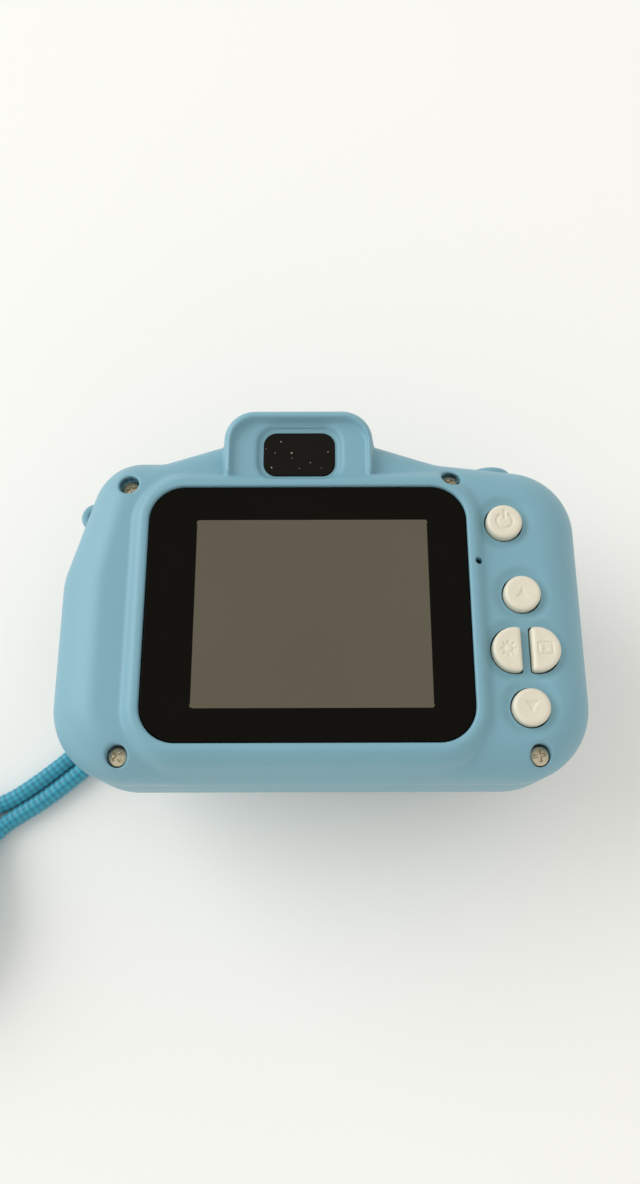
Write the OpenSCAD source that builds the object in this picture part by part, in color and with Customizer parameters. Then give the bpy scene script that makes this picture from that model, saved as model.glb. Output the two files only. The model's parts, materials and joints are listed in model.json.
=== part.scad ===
/* [Case] */
// Width of the case
body_w = 90; // [90:0.5:92]
// Height of the case with the viewfinder hump
body_h = 64.5; // [64.5:0.5:66]
// Height of the flat back face above the lens rim
back_z = 42; // [41.5:0.5:42]
// Height of the front face above the lens rim
front_z = 14.6; // [14.2:0.2:15]
// Height of the line where the two covers meet
split_z = 31; // [31:0.2:31.4]
// Thickness of the moulded walls
wall = 2; // [1.8:0.1:2.2]
// Rounding of the back edge
back_r = 8; // [7.5:0.5:8.5]
// Rounding of the front edge
front_r = 7; // [6:0.5:7.5]

/* [Viewfinder hump] */
// Centre line of the hump and the lens
hump_x = -3.8; // [-4:0.2:-3.6]
// Half of the hump's width
hump_half = 13.1; // [13:0.1:13.4]
// Height of the hump's rim
hump_z = 44; // [43.8:0.1:44.2]
// Width of the viewfinder window
finder_w = 12.6; // [12:0.2:13]
// Height of the viewfinder window
finder_h = 8.4; // [8:0.2:8.6]

/* [Display] */
// Width of the black window
window_w = 53.9; // [53:0.1:54.2]
// Height of the black window
window_h = 43.9; // [43:0.1:44.2]
// Width of the lit part of the display
lcd_w = 39.1; // [38.5:0.1:39.6]
// Height of the lit part of the display
lcd_h = 32.3; // [31.8:0.1:32.6]

/* [Buttons] */
// Diameter of the round buttons
button_d = 6.1; // [5.9:0.1:6.2]
// Height of the button tops
button_z = 43; // [42.8:0.1:43.2]
// Travel of the buttons on the back
button_travel = 0.5; // [0.4:0.1:0.5]
// Radius of the shutter button
shutter_r = 4.2; // [4:0.1:4.4]
// Travel of the shutter button
shutter_travel = 0.8; // [0.6:0.1:0.8]

/* [Lens] */
// Outer radius of the lens barrel
lens_r = 19.5; // [19:0.1:20]
// Radius of the clear lens cover
lens_glass_r = 6; // [5.6:0.1:6.2]

/* [Strap] */
// Diameter of the braided strap cord
strap_d = 3.5; // [3.4:0.1:3.5]
// Diameter of the string loop
string_d = 1; // [0.9:0.1:1]

/* [Hidden] */
$fn = 64;
hull_fn = 24;
body_bottom = -body_h / 2;
body_top = body_h / 2;
// Each corner of the case's outline: x, y, radius
low_r = 13;
right_r = 11.8;
top_r = 9;
left_r = 9.2;
side_r = 12.2;
case_corners = [
    [-body_w / 2 + low_r, body_bottom + low_r, low_r],
    [body_w / 2 - low_r, body_bottom + low_r, low_r],
    [body_w / 2 - right_r, 11.3, right_r],
    [20, 15.7, top_r],
    [-31.7, 15.8, left_r],
    [-body_w / 2 + side_r, 1, side_r]
];
hump_r = 5.5;
hump_corners = [
    [hump_x - hump_half + hump_r, body_top - hump_r, hump_r],
    [hump_x + hump_half - hump_r, body_top - hump_r, hump_r],
    [hump_x + hump_half - hump_r, 12, hump_r],
    [hump_x - hump_half + hump_r, 12, hump_r]
];
shoulder_r = 4.5;
shoulder_corners = [
    [-28, 19.4, shoulder_r],
    [-14.5, 23.7, shoulder_r],
    [6.9, 23.7, shoulder_r],
    [21, 19, shoulder_r]
];
back_round_z = back_z - back_r;
front_round_z = front_z + front_r;
hump_round = 2.5;
hump_front_z = 18.6;
hump_front_round = 5;
shoulder_round = 4;
shoulder_arc_z = back_z - 1 - shoulder_round;
hump_front_arc_z = hump_front_z + hump_front_round;
// Screen
window_x = -2.15;
window_y = -4.7;
window_r = 6;
window_t = 1;
window_top = back_z + 0.9;
pocket_z = window_top - window_t - 0.2;
surround_z = back_z + 1.4;
lcd_x = -1.4;
lcd_y = -5;
panel_w = lcd_w + 5;
panel_h = lcd_h + 4.5;
panel_t = 2;
panel_z = pocket_z - panel_t - 0.1;
tray_t = 0.4;
tray_z = panel_z - tray_t;
// Viewfinder
finder_x = -3.65;
finder_y = 24.15;
finder_r = 2.4;
finder_top = 41.6;
finder_panel_z = 42.4;
finder_glass_t = 1;
// Lens
lens_y = -3;
barrel_top = front_z;
spigot_r = 16.4;
spigot_h = 1.6;
recess_r = 15.4;
recess_z = 8.4;
glass_z = 6.6;
// Screws that join the covers: x, y
screw_at = [[-33.3, 18.5], [22.8, 19.4], [-32.7, -28.3], [35.2, -28.3]];
screw_shaft_r = 0.95;
screw_head_r = 1.55;
screw_hole_r = 1.75;
screw_seat_z = 37.4;
boss_r = 2.9;
// Where each boss meets the covers' rounded edges
boss_foot = [16.3, 17.6, 18.4, 19.4];
boss_top = [40, 38.2, 37.5, 36.6];
// Collars beside the bosses, which close the wells of the screw heads
collar_top = [40.4, 39.9, 39.5, 39.1];
collar_to = [[-31.7, 15.8], [20, 15.7], [-32, -19.2], [32, -19.2]];
collar_shift = 1.3;
collar_r = 2.4;
// Buttons on the back: x, y
power_at = [31.4, 10.9];
up_at = [33.6, -1.9];
pair_at = [33.65, -11.45];
down_at = [33.8, -21];
pair_gap = 1.7;
pair_r = 3.75;
pair_offset = 1.85;
menu_at = [pair_at[0] - 3.1, pair_at[1]];
playback_at = [pair_at[0] + 3.1, pair_at[1]];
cap_gap = 0.25;
flange_t = 0.8;
flange_top = back_z - wall - 1.1;
flange_grow = 0.5;
switch_w = 4.4;
switch_h = 1.5;
board_t = 1;
plunger_r = 0.9;
fit_gap = 0.05;
plunger_top = flange_top - flange_t;
switch_top = plunger_top - button_travel - 0.3;
button_board_z = switch_top - switch_h - board_t;
dish_depth = 0.5;
board_post_at = [[38.4, 4.6], [27.6, -18.4]];
mic_at = [26.6, 3.75];
mic_r = 2;
mic_hole_r = 0.6;
// Shutter button, which slides along Y
shutter_x = 31.9;
shutter_z = 28.2;
shutter_top = 26.3;
shutter_flange_y = 18.9;
shutter_switch_y = shutter_flange_y - shutter_travel - 1.4;
shutter_board_y = 13.6;
// Main board
board_z = 28.2;
board_x0 = -30;
board_x1 = 40.4;
board_y0 = -24;
board_y1 = 12;
post_r = 2.2;
post_at = [[-26.6, 9.5], [-26.6, -21.4], [23, 9.5], [33, -21.4]];
floor_z = front_z + wall;
// Port opening in the right side
port_y0 = -13;
port_len = 23.6;
port_z0 = 23.9;
port_h = 6.4;
port_t = 1.2;
port_gap = 0.2;
plug_t = 1;
port_hinge = [body_w / 2 - 0.58, port_y0 + 0.6];
port_hinge_r = 0.55;
mouth_y0 = port_y0 + 2.2;
mouth_len = 19.8;
mouth_z0 = port_z0 + 1.2;
mouth_h = 4;
// Strap lug on the upper left corner
lug_at = [-42.3, 18.2];
lug_r = 2.7;
lug_z0 = 24;
lug_h = 3.6;
lug_hole_r = 1.1;
// Strap: places along each run, from the ferrule to the coil: x, y, z
strap_r = strap_d / 2;
ferrule_at = [-38.6, -10.4];
ferrule_turn = -24;
ferrule_l = 9.6;
ferrule_h = 4.6;
ferrule_w = 9;
coil_at = [-86.6, -51.5];
coil_rows = 2;
coil_layers = 3;
coil_mid_r = 18.6;
strand_a_route = [
    [-42.2, -13.6, 2.3], [-43.4, -16.2, 1.9], [-46, -19.6, 1.75], [-49.6, -22.9, 1.75],
    [-53.4, -26.1, 1.75], [-57.2, -29, 1.75], [-60.8, -31.4, 1.75], [-64.4, -33, 1.75],
    [-68.6, -34, 1.75], [-73, -33.6, 1.75], [-78, -32.3, 1.75], [-82.5, -31.4, 1.75],
    [-86.6, -31.15, 1.75]
];
strand_b_route = [
    [-38.9, -15, 2.3], [-40.4, -18, 1.9], [-43.4, -22, 1.75], [-47.2, -25.5, 1.75],
    [-51.1, -28.8, 1.75], [-55.1, -31.9, 1.75], [-59, -34.4, 1.75], [-62.2, -36.6, 1.9],
    [-64.6, -39.6, 3], [-65.8, -43.2, 5], [-66.2, -47.2, 7.2], [-66.25, -51.5, 8.75]
];
string_route = [
    [-36.3, -6, 2.3], [-35.8, -3.4, 1.2], [-36, -0.4, 0.6], [-36.8, 2.8, 0.5],
    [-38, 6, 0.6], [-39.4, 9.2, 1.6], [-40.8, 12.2, 4.2], [-41.8, 15, 8.4],
    [-42.3, 17, 13.2], [-42.5, 18, 18], [-42.5, 18.2, 22.4], [-42.4, 18.1, 26.6],
    [-42.6, 17.4, 28.3], [-43, 16, 28.7], [-43.3, 14.9, 27.4], [-43.4, 14.8, 24.6],
    [-43, 15, 20.4], [-42.4, 14.4, 15.6], [-41.4, 12.8, 10.8], [-40, 10.4, 6.4],
    [-38.2, 7.4, 3], [-36.2, 4.2, 1], [-34.6, 0.8, 0.5], [-34, -2.4, 0.7],
    [-34.6, -5.4, 2.3]
];

module rounded_rect(w, h, r) {
    square([w - 2 * r, h], center = true);
    square([w, h - 2 * r], center = true);
    for (x = [-1, 1]) {
        for (y = [-1, 1]) {
            translate([x * (w / 2 - r), y * (h / 2 - r)]) circle(r = r);
        }
    }
}

module plate(at, z, w, h, r, t) {
    translate([at[0], at[1], z]) linear_extrude(t) rounded_rect(w, h, r);
}

// Hull of one turned profile per corner: straight walls from foot_z to arc_z, then a round edge
module rounded_block(corners, foot_z, arc_z, edge_r, inset, dir) {
    hull() {
        for (c = corners) {
            r = c[2] - inset;
            edge = [for (a = [0 : 30 : 90]) [r - edge_r * (1 - cos(a)), arc_z + dir * edge_r * sin(a)]];
            translate([c[0], c[1], 0]) rotate_extrude($fn = hull_fn)
                polygon(concat([[0, foot_z], [r, foot_z]], edge, [[0, arc_z + dir * edge_r]]));
        }
    }
}

function unit(v) = v / norm(v);
function collar_at(i) = screw_at[i] + collar_shift * unit(collar_to[i] - screw_at[i]);

// Sweep of a round tube along a route
function heading(p, i) = unit(p[min(i + 1, len(p) - 1)] - p[max(i - 1, 0)]);
function side_of(d) = unit(cross(d, [0.12, 0.35, 1]));
function ring(p, i, r, sides) =
    let (d = heading(p, i), u = side_of(d), v = cross(d, u))
    [for (k = [0 : sides - 1]) p[i] + r * (cos(360 * k / sides) * u + sin(360 * k / sides) * v)];

module tube(route, r, sides = 8) {
    n = len(route);
    points = [for (i = [0 : n - 1]) each ring(route, i, r, sides)];
    walls = [
        for (i = [0 : n - 2]) for (k = [0 : sides - 1]) each [
            [i * sides + k, i * sides + (k + 1) % sides, (i + 1) * sides + k],
            [i * sides + (k + 1) % sides, (i + 1) * sides + (k + 1) % sides, (i + 1) * sides + k]
        ]
    ];
    first_end = [for (k = [sides - 1 : -1 : 0]) k];
    last_end = [for (k = [0 : sides - 1]) (n - 1) * sides + k];
    polyhedron(points, concat(walls, [first_end, last_end]), convexity = 6);
}

// Round hole along Z
module hole(at, r, z0, z1) {
    translate([at[0], at[1], z0]) cylinder(r = r, h = z1 - z0);
}

// Half-round cap outline of the two middle buttons, side = -1 left, 1 right
module pair_shape(side, grow, flat_grow) {
    intersection() {
        translate([pair_at[0] + side * pair_offset, pair_at[1]]) circle(r = pair_r + grow);
        translate([pair_at[0] + side * (pair_gap / 2 - flat_grow + 10), pair_at[1]])
            square([20, 20], center = true);
    }
}

module shutter_bore(r, y0, y1) {
    translate([shutter_x, y0, shutter_z]) rotate([-90, 0, 0]) cylinder(r = r, h = y1 - y0);
}

module rear_cover() {
    color("skyblue") difference() {
        union() {
            difference() {
                union() {
                    rounded_block(case_corners, split_z, back_round_z, back_r, 0, 1);
                    rounded_block(hump_corners, split_z, hump_z - hump_round, hump_round, 0, 1);
                    rounded_block(shoulder_corners, split_z, shoulder_arc_z, shoulder_round, 0, 1);
                    screen_surround();
                }
                rounded_block(case_corners, split_z - 1, back_round_z, back_r - wall, wall, 1);
                plate([hump_x, 21.5], split_z - 1, 2 * hump_half - 2 * wall, 17.4, 3, 9.2);
            }
            for (i = [0 : len(screw_at) - 1]) {
                hole(screw_at[i], boss_r, split_z, boss_top[i]);
                hole(collar_at(i), collar_r, split_z, collar_top[i]);
            }
            for (p = board_post_at) {
                hole(p, 1.5, button_board_z + board_t, back_z - wall + 0.5);
            }
        }
        plate([window_x, window_y], pocket_z, window_w + 0.2, window_h + 0.2, window_r + 0.1, 4);
        plate([lcd_x, lcd_y], pocket_z - 4, panel_w + 0.6, panel_h + 0.6, 1, 5);
        plate([hump_x + 0.3, 22.05], finder_panel_z, 22.8, 15, 4, 4);
        plate([finder_x, finder_y], finder_top, finder_w + 2, finder_h + 1.4, finder_r + 0.8, 2);
        plate([finder_x, finder_y], finder_top - 4, finder_w, finder_h, finder_r, 5);
        for (p = screw_at) {
            hole(p, screw_hole_r, screw_seat_z, back_z + 1);
            hole(p, screw_shaft_r + 0.15, split_z - 1, screw_seat_z + 1);
        }
        for (p = [power_at, up_at, down_at]) {
            hole(p, button_d / 2 + cap_gap, back_z - wall - 1, back_z + 1);
            hole(p, button_d / 2 + 1.4, back_z - dish_depth, back_z + 1);
        }
        for (side = [-1, 1]) {
            translate([0, 0, back_z - wall - 1]) linear_extrude(wall + 2) pair_shape(side, cap_gap, cap_gap);
        }
        hole(mic_at, mic_hole_r, back_z - wall - 1, back_z + 1);
        for (p = board_post_at) {
            hole(p, 0.6, button_board_z, button_board_z + board_t + 3);
        }
        shutter_bore(shutter_r + 0.3, 17, 30);
    }
}

module screen_surround() {
    hull() {
        for (x = [-1, 1]) {
            for (y = [-1, 1]) {
                translate([
                    window_x + x * (window_w / 2 - window_r),
                    window_y + y * (window_h / 2 - window_r),
                    back_z - 0.5
                ]) cylinder(r1 = window_r + 3, r2 = window_r + 1.1, h = 1.9, $fn = hull_fn);
            }
        }
    }
}

module front_cover() {
    color("skyblue") difference() {
        union() {
            difference() {
                union() {
                    rounded_block(case_corners, split_z, front_round_z, front_r, 0, -1);
                    rounded_block(hump_corners, split_z, hump_front_arc_z, hump_front_round, 0, -1);
                    rounded_block(shoulder_corners, split_z, front_z + 8, shoulder_round, 0, -1);
                }
                rounded_block(case_corners, split_z + 1, front_round_z, front_r - wall, wall, -1);
                plate([hump_x, 21.5], hump_front_z + wall + 0.6, 2 * hump_half - 2 * wall, 17.4, 3, 20);
            }
            for (i = [0 : len(screw_at) - 1]) {
                hole(screw_at[i], boss_r, boss_foot[i], split_z);
            }
            for (p = post_at) {
                hole(p, post_r, floor_z - 0.5, board_z);
            }
            // Lug for the strap's string
            hole(lug_at, lug_r, lug_z0, lug_z0 + lug_h);
            translate([lug_at[0], lug_at[1] - 2, lug_z0 + 0.2]) cube([2.8, 4, lug_h - 0.4]);
            // Ribs that carry the battery
            for (y = [-15, 4]) {
                translate([-37.4, y, floor_z - 0.5]) cube([14, 1.2, 4.5]);
            }
            // Guides that hold the shutter's board
            for (x = [25, 38]) {
                translate([x, shutter_board_y + board_t, floor_z - 0.5]) cube([1, 2, split_z - floor_z]);
            }
        }
        hole([hump_x, lens_y], spigot_r + 0.1, front_z - 1, floor_z + 0.2);
        for (p = screw_at) {
            hole(p, screw_shaft_r + 0.03, front_z + 4, split_z + 1);
        }
        for (p = post_at) {
            hole(p, 0.78, board_z - 6, board_z + 1);
        }
        plate([finder_x, finder_y], hump_front_z - 1, finder_w - 1, finder_h - 1, finder_r, 6);
        plate([finder_x, finder_y], hump_front_z - 0.5, finder_w + 1, finder_h + 1, finder_r + 0.5, 1.6);
        hole(lug_at, lug_hole_r, lug_z0 - 1, lug_z0 + lug_h + 1);
        shutter_bore(shutter_r + 0.3, 17, 30);
        // Recess and mouth of the port
        translate([body_w / 2 - port_t - 0.05, port_y0 - port_gap, port_z0 - port_gap])
            cube([3, port_len + 2 * port_gap + 0.2, port_h + 2 * port_gap]);
        translate([body_w / 2 - 6, mouth_y0, mouth_z0]) cube([8, mouth_len, mouth_h]);
        // Sound holes in front of the speaker
        for (a = [0 : 60 : 300]) {
            hole([27 + 4 * cos(a), -12 + 4 * sin(a)], 0.8, front_z - 1, floor_z + 1);
        }
        hole([27, -12], 0.8, front_z - 1, floor_z + 1);
    }
}

module case_screws() {
    color("silver") for (p = screw_at) {
        difference() {
            union() {
                hole(p, screw_shaft_r, front_z + 6, screw_seat_z);
                hole(p, screw_head_r, screw_seat_z, screw_seat_z + 1.4);
            }
            for (turn = [20, 110]) {
                translate([p[0], p[1], screw_seat_z + 1.2]) rotate([0, 0, turn])
                    cube([2, 0.45, 1.2], center = true);
            }
        }
    }
}

module screen_window() {
    color("black") plate([window_x, window_y], window_top - window_t, window_w, window_h, window_r, window_t);
}

module window_tape() {
    color("dimgray") difference() {
        plate([window_x, window_y], pocket_z, window_w - 0.4, window_h - 0.4, window_r - 0.2, 0.2);
        plate([lcd_x, lcd_y], pocket_z - 1, panel_w + 1, panel_h + 1, 1, 2);
    }
}

module lcd_panel() {
    color("gray") plate([lcd_x, lcd_y], panel_z, panel_w, panel_h, 0.6, panel_t);
}

module lcd_tray() {
    color("silver") difference() {
        plate([lcd_x, lcd_y], tray_z, panel_w + 0.5, panel_h + 0.5, 0.8, tray_t + 1.2);
        plate([lcd_x, lcd_y], panel_z, panel_w, panel_h, 0.6, 4);
    }
}

// Ribbon of one thickness along a list of Y-Z places
function beside(p, i, gap) = let (d = heading(p, i)) p[i] + gap * [-d[1], d[0]];

module ribbon(x, w, path, t) {
    last = len(path) - 1;
    left = [for (i = [0 : last]) beside(path, i, t / 2)];
    right = [for (i = [last : -1 : 0]) beside(path, i, -t / 2)];
    translate([x - w / 2, 0, 0]) rotate([90, 0, 90]) linear_extrude(w) polygon(concat(left, right));
}

module lcd_flex() {
    color("orange") ribbon(lcd_x, 16, [
        [-19, tray_z - 0.3], [-25.6, tray_z - 0.3], [-26.8, tray_z - 2],
        [-26.8, board_z + 3.6], [-25, board_z + 1.4], [-19, board_z + 1.4]
    ], 0.3);
}

module finder_window() {
    color("black") plate([finder_x, finder_y], finder_top - finder_glass_t, finder_w - 0.2, finder_h - 0.2,
        finder_r - 0.1, finder_glass_t);
}

module finder_tunnel() {
    color("dimgray") difference() {
        plate([finder_x, finder_y], hump_front_z + 2.7, finder_w + 1.4, finder_h + 1.4, finder_r,
            39.1 - hump_front_z - 2.7);
        plate([finder_x, finder_y], hump_front_z, finder_w - 0.8, finder_h - 0.8, finder_r - 0.4, 30);
    }
}

module finder_front_window() {
    color("black") plate([finder_x, finder_y], hump_front_z + 0.1, finder_w + 0.8, finder_h + 0.8,
        finder_r + 0.4, 1);
}

module lens_barrel() {
    color("skyblue") translate([hump_x, lens_y, 0]) rotate_extrude() polygon([
        [recess_r, 0.5], [recess_r + 0.5, 0], [lens_r - 0.8, 0], [lens_r - 0.24, 0.24],
        [lens_r, 0.8], [lens_r, 5], [lens_r - 0.5, 5.5], [lens_r - 0.5, 6.5], [lens_r, 7],
        [lens_r, barrel_top], [spigot_r, barrel_top], [spigot_r, barrel_top + spigot_h],
        [7.4, barrel_top + spigot_h], [7.4, recess_z], [recess_r, recess_z]
    ]);
}

module lens_trim_ring() {
    color("silver") translate([hump_x, lens_y, 0]) rotate_extrude() polygon([
        [recess_r - 0.02, 2.2], [recess_r - 0.02, recess_z], [10.4, recess_z], [10.4, 4.4],
        [13.6, 2.2]
    ]);
}

module lens_hood_cone() {
    color("black") translate([hump_x, lens_y, 0]) rotate_extrude() polygon([
        [10.38, 4.6], [10.38, recess_z], [lens_glass_r + 0.02, recess_z],
        [lens_glass_r + 0.02, glass_z - 0.4], [lens_glass_r + 1.2, glass_z - 0.6]
    ]);
}

module lens_cover() {
    color("lightblue") translate([hump_x, lens_y, glass_z]) cylinder(r = lens_glass_r, h = 1);
}

module lens_cell() {
    color("black") translate([hump_x, lens_y, 0]) difference() {
        union() {
            translate([0, 0, 8.2]) cylinder(r = 3.4, h = 1.8);
            translate([0, 0, 10]) cylinder(r = 2.95, h = 2.4);
        }
        translate([0, 0, 8]) cylinder(r = 1.4, h = 1);
    }
}

module lens_holder() {
    color("dimgray") translate([hump_x, lens_y, 0]) difference() {
        translate([-4.5, -4.5, 10.2]) cube([9, 9, 4.4]);
        translate([0, 0, 9]) cylinder(r = 3, h = 4.2);
        translate([-3.4, -3.4, 13.2]) cube([6.8, 6.8, 3]);
    }
}

module sensor_board() {
    color("green") translate([hump_x - 5, lens_y - 5, 14.6]) cube([10, 10, 0.8]);
}

module sensor_flex() {
    color("orange") ribbon(hump_x, 6, [
        [lens_y, 15.6], [lens_y + 5.4, 15.7], [lens_y + 7.2, 16.6], [lens_y + 13, 16.8],
        [lens_y + 15.2, 18.5], [lens_y + 15.4, board_z - 0.2]
    ], 0.3);
}

module main_board() {
    color("green") difference() {
        translate([board_x0, board_y0, board_z])
            cube([board_x1 - board_x0, board_y1 - board_y0, board_t + 0.2]);
        for (p = post_at) {
            hole(p, 0.9, board_z - 1, board_z + 3);
        }
    }
}

module chip(at, w, h, t) {
    translate([at[0] - w / 2, at[1] - h / 2, board_z + board_t + 0.2]) cube([w, h, t]);
}

module processor_chip() {
    color("black") chip([-8, -2], 10, 10, 1);
}

module memory_chip() {
    color("black") chip([8, -4], 6, 5, 0.9);
}

// Metal shell with a mouth on the right side
module socket(y, w, x0, x1, z0, h, shell) {
    difference() {
        translate([x0, y, z0]) cube([x1 - x0, w, h]);
        translate([x0 + 1, y + shell, z0 + shell]) cube([x1 - x0, w - 2 * shell, h - 2 * shell]);
    }
}

module usb_socket() {
    color("silver") socket(-10.2, 7.5, 36.6, 42.4, board_z - 2.7, 2.7, 0.4);
}

module card_socket() {
    color("silver") socket(-1.8, 10.4, 27.5, 42.4, board_z - 1.6, 1.6, 0.2);
}

module board_screws() {
    color("silver") for (p = post_at) {
        hole(p, 0.76, board_z - 4.6, board_z + board_t + 0.2);
        hole(p, 1.5, board_z + board_t + 0.2, board_z + board_t + 1.1);
    }
}

module battery() {
    color("silver") plate([-20.4, -5.4], floor_z + 4, 34, 22, 1, 5.6);
}

module battery_wires() {
    color("red") for (y = [2, 4]) {
        tube([
            [-3.6, y, floor_z + 7], [-1, y, floor_z + 7.2], [0.8, y, floor_z + 8], [1.6, y, floor_z + 9.4],
            [1.8, y, board_z]
        ], 0.4);
    }
}

module speaker() {
    color("dimgray") translate([27, -12, floor_z]) difference() {
        union() {
            cylinder(r = 8.4, h = 2);
            cylinder(r = 6, h = 3.6);
        }
        translate([0, 0, -1]) cylinder(r = 6.4, h = 1.6);
    }
}

module speaker_wires() {
    color("black") for (y = [-10, -8.4]) {
        tube([
            [19.4, y, floor_z + 1], [17.4, y, floor_z + 1.2], [16, y, floor_z + 2.4],
            [15.6, y, floor_z + 4.4], [15.6, y, board_z]
        ], 0.4);
    }
}

module microphone() {
    color("silver") {
        hole(mic_at, mic_r, back_z - wall - 1.8, back_z - wall - 0.2);
        for (side = [-1, 1]) {
            hole([mic_at[0], mic_at[1] + side * 1.1], 0.25, button_board_z + board_t, back_z - wall - 1.8);
        }
    }
}

module button_board() {
    color("green") difference() {
        translate([25.4, -24.2, button_board_z]) cube([14.8, 39, board_t]);
        for (p = board_post_at) {
            hole(p, 0.7, button_board_z - 1, button_board_z + 2);
        }
    }
}

module button_board_screws() {
    color("silver") for (p = board_post_at) {
        hole(p, 0.58, button_board_z - 0.1, button_board_z + board_t + 2.4);
        hole(p, 1.2, button_board_z - 0.8, button_board_z);
    }
}

module button_flex() {
    color("orange") ribbon(28, 6, [
        [-23, button_board_z - 0.2], [-25.6, button_board_z - 1], [-25.6, board_z + 2.4],
        [-23, board_z + 1.4]
    ], 0.3);
}

module switch_body(at) {
    difference() {
        translate([at[0] - switch_w / 2, at[1] - switch_w / 2, button_board_z + board_t])
            cube([switch_w, switch_w, switch_h]);
        hole(at, plunger_r + fit_gap, switch_top - 1.2, switch_top + 1);
    }
}

module plunger(at) {
    hole(at, plunger_r, switch_top - 0.6, plunger_top);
}

module round_button(at) {
    hole(at, button_d / 2 + flange_grow, plunger_top, flange_top);
    hole(at, button_d / 2, plunger_top, button_z - 0.5);
    translate([at[0], at[1], button_z - 0.5]) cylinder(r1 = button_d / 2, r2 = button_d / 2 - 0.5, h = 0.5);
}

module pair_button(side) {
    translate([0, 0, plunger_top]) linear_extrude(flange_top - plunger_top)
        pair_shape(side, flange_grow, 0.4);
    translate([0, 0, plunger_top]) linear_extrude(button_z - 0.4 - plunger_top) pair_shape(side, 0, 0);
    translate([0, 0, button_z - 0.4]) linear_extrude(0.4) pair_shape(side, -0.4, -0.4);
}

module power_switch() { color("dimgray") switch_body(power_at); }
module up_switch() { color("dimgray") switch_body(up_at); }
module menu_switch() { color("dimgray") switch_body(menu_at); }
module playback_switch() { color("dimgray") switch_body(playback_at); }
module down_switch() { color("dimgray") switch_body(down_at); }
module power_plunger() { color("black") plunger(power_at); }
module up_plunger() { color("black") plunger(up_at); }
module menu_plunger() { color("black") plunger(menu_at); }
module playback_plunger() { color("black") plunger(playback_at); }
module down_plunger() { color("black") plunger(down_at); }
module power_button() { color("ivory") round_button(power_at); }
module up_button() { color("ivory") round_button(up_at); }
module menu_button() { color("ivory") pair_button(-1); }
module playback_button() { color("ivory") pair_button(1); }
module down_button() { color("ivory") round_button(down_at); }

// Solid of revolution about the shutter's axis
module shutter_rod(r, y0, y1) {
    translate([shutter_x, y0, shutter_z]) rotate([-90, 0, 0]) cylinder(r = r, h = y1 - y0);
}

module shutter_button() {
    color("skyblue") {
        shutter_rod(shutter_r + 0.9, shutter_flange_y, shutter_flange_y + 1);
        shutter_rod(shutter_r, shutter_flange_y, shutter_top - 0.8);
        translate([shutter_x, shutter_top - 0.8, shutter_z]) rotate([-90, 0, 0])
            cylinder(r1 = shutter_r, r2 = shutter_r - 0.8, h = 0.8);
    }
}

module shutter_switch() {
    color("dimgray") difference() {
        translate([shutter_x - 3, shutter_board_y + board_t, shutter_z - 2.3])
            cube([6, shutter_switch_y - shutter_board_y - board_t, 4.6]);
        shutter_rod(plunger_r + fit_gap, shutter_switch_y - 1.6, shutter_switch_y + 1);
    }
}

module shutter_plunger() {
    color("black") shutter_rod(plunger_r, shutter_switch_y - 0.7, shutter_flange_y);
}

module shutter_board() {
    color("green") translate([25.2, shutter_board_y, floor_z + 2]) cube([13.6, board_t, 14]);
}

module port_cover() {
    color("skyblue") {
        translate([body_w / 2 - port_t + 0.05, port_hinge[1], port_z0])
            cube([port_t - 0.05, port_len - 0.6, port_h]);
        hole(port_hinge, port_hinge_r, port_z0, port_z0 + port_h);
        translate([body_w / 2 - port_t - plug_t + 0.05, mouth_y0 + 0.5, mouth_z0 + 0.25])
            cube([plug_t + 0.1, mouth_len - 1.2, mouth_h - 0.5]);
    }
}

module strap_string() { color("teal") tube(string_route, string_d / 2); }
module strap_strand_a() { color("teal") tube(strand_a_route, strap_r); }
module strap_strand_b() { color("teal") tube(strand_b_route, strap_r); }

module strap_ferrule() {
    color("teal") translate([ferrule_at[0], ferrule_at[1], ferrule_h / 2]) rotate([0, 0, ferrule_turn])
        rotate([90, 0, 0]) translate([0, 0, -ferrule_l / 2])
        linear_extrude(ferrule_l) rounded_rect(ferrule_w, ferrule_h, ferrule_h / 2 - 0.1);
}

module strap_coil() {
    coil_w = coil_rows * strap_d;
    color("teal") translate([coil_at[0], coil_at[1], coil_layers * strap_d / 2]) rotate_extrude()
        translate([coil_mid_r, 0]) rounded_rect(coil_w, coil_layers * strap_d, strap_r - 0.05);
}

rear_cover();
front_cover();
case_screws();
screen_window();
window_tape();
lcd_panel();
lcd_tray();
lcd_flex();
finder_window();
finder_tunnel();
finder_front_window();
lens_barrel();
lens_trim_ring();
lens_hood_cone();
lens_cover();
lens_cell();
lens_holder();
sensor_board();
sensor_flex();
main_board();
processor_chip();
memory_chip();
usb_socket();
card_socket();
board_screws();
battery();
battery_wires();
speaker();
speaker_wires();
microphone();
button_board();
button_board_screws();
button_flex();
power_switch();
up_switch();
menu_switch();
playback_switch();
down_switch();
shutter_switch();
shutter_board();
power_button();
up_button();
menu_button();
playback_button();
down_button();
shutter_button();
power_plunger();
up_plunger();
menu_plunger();
playback_plunger();
down_plunger();
shutter_plunger();
port_cover();
strap_string();
strap_ferrule();
strap_strand_a();
strap_strand_b();
strap_coil();
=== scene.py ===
import json
import math
import bmesh
import bpy
import numpy as np
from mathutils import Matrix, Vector
from mathutils.geometry import delaunay_2d_cdt


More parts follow.
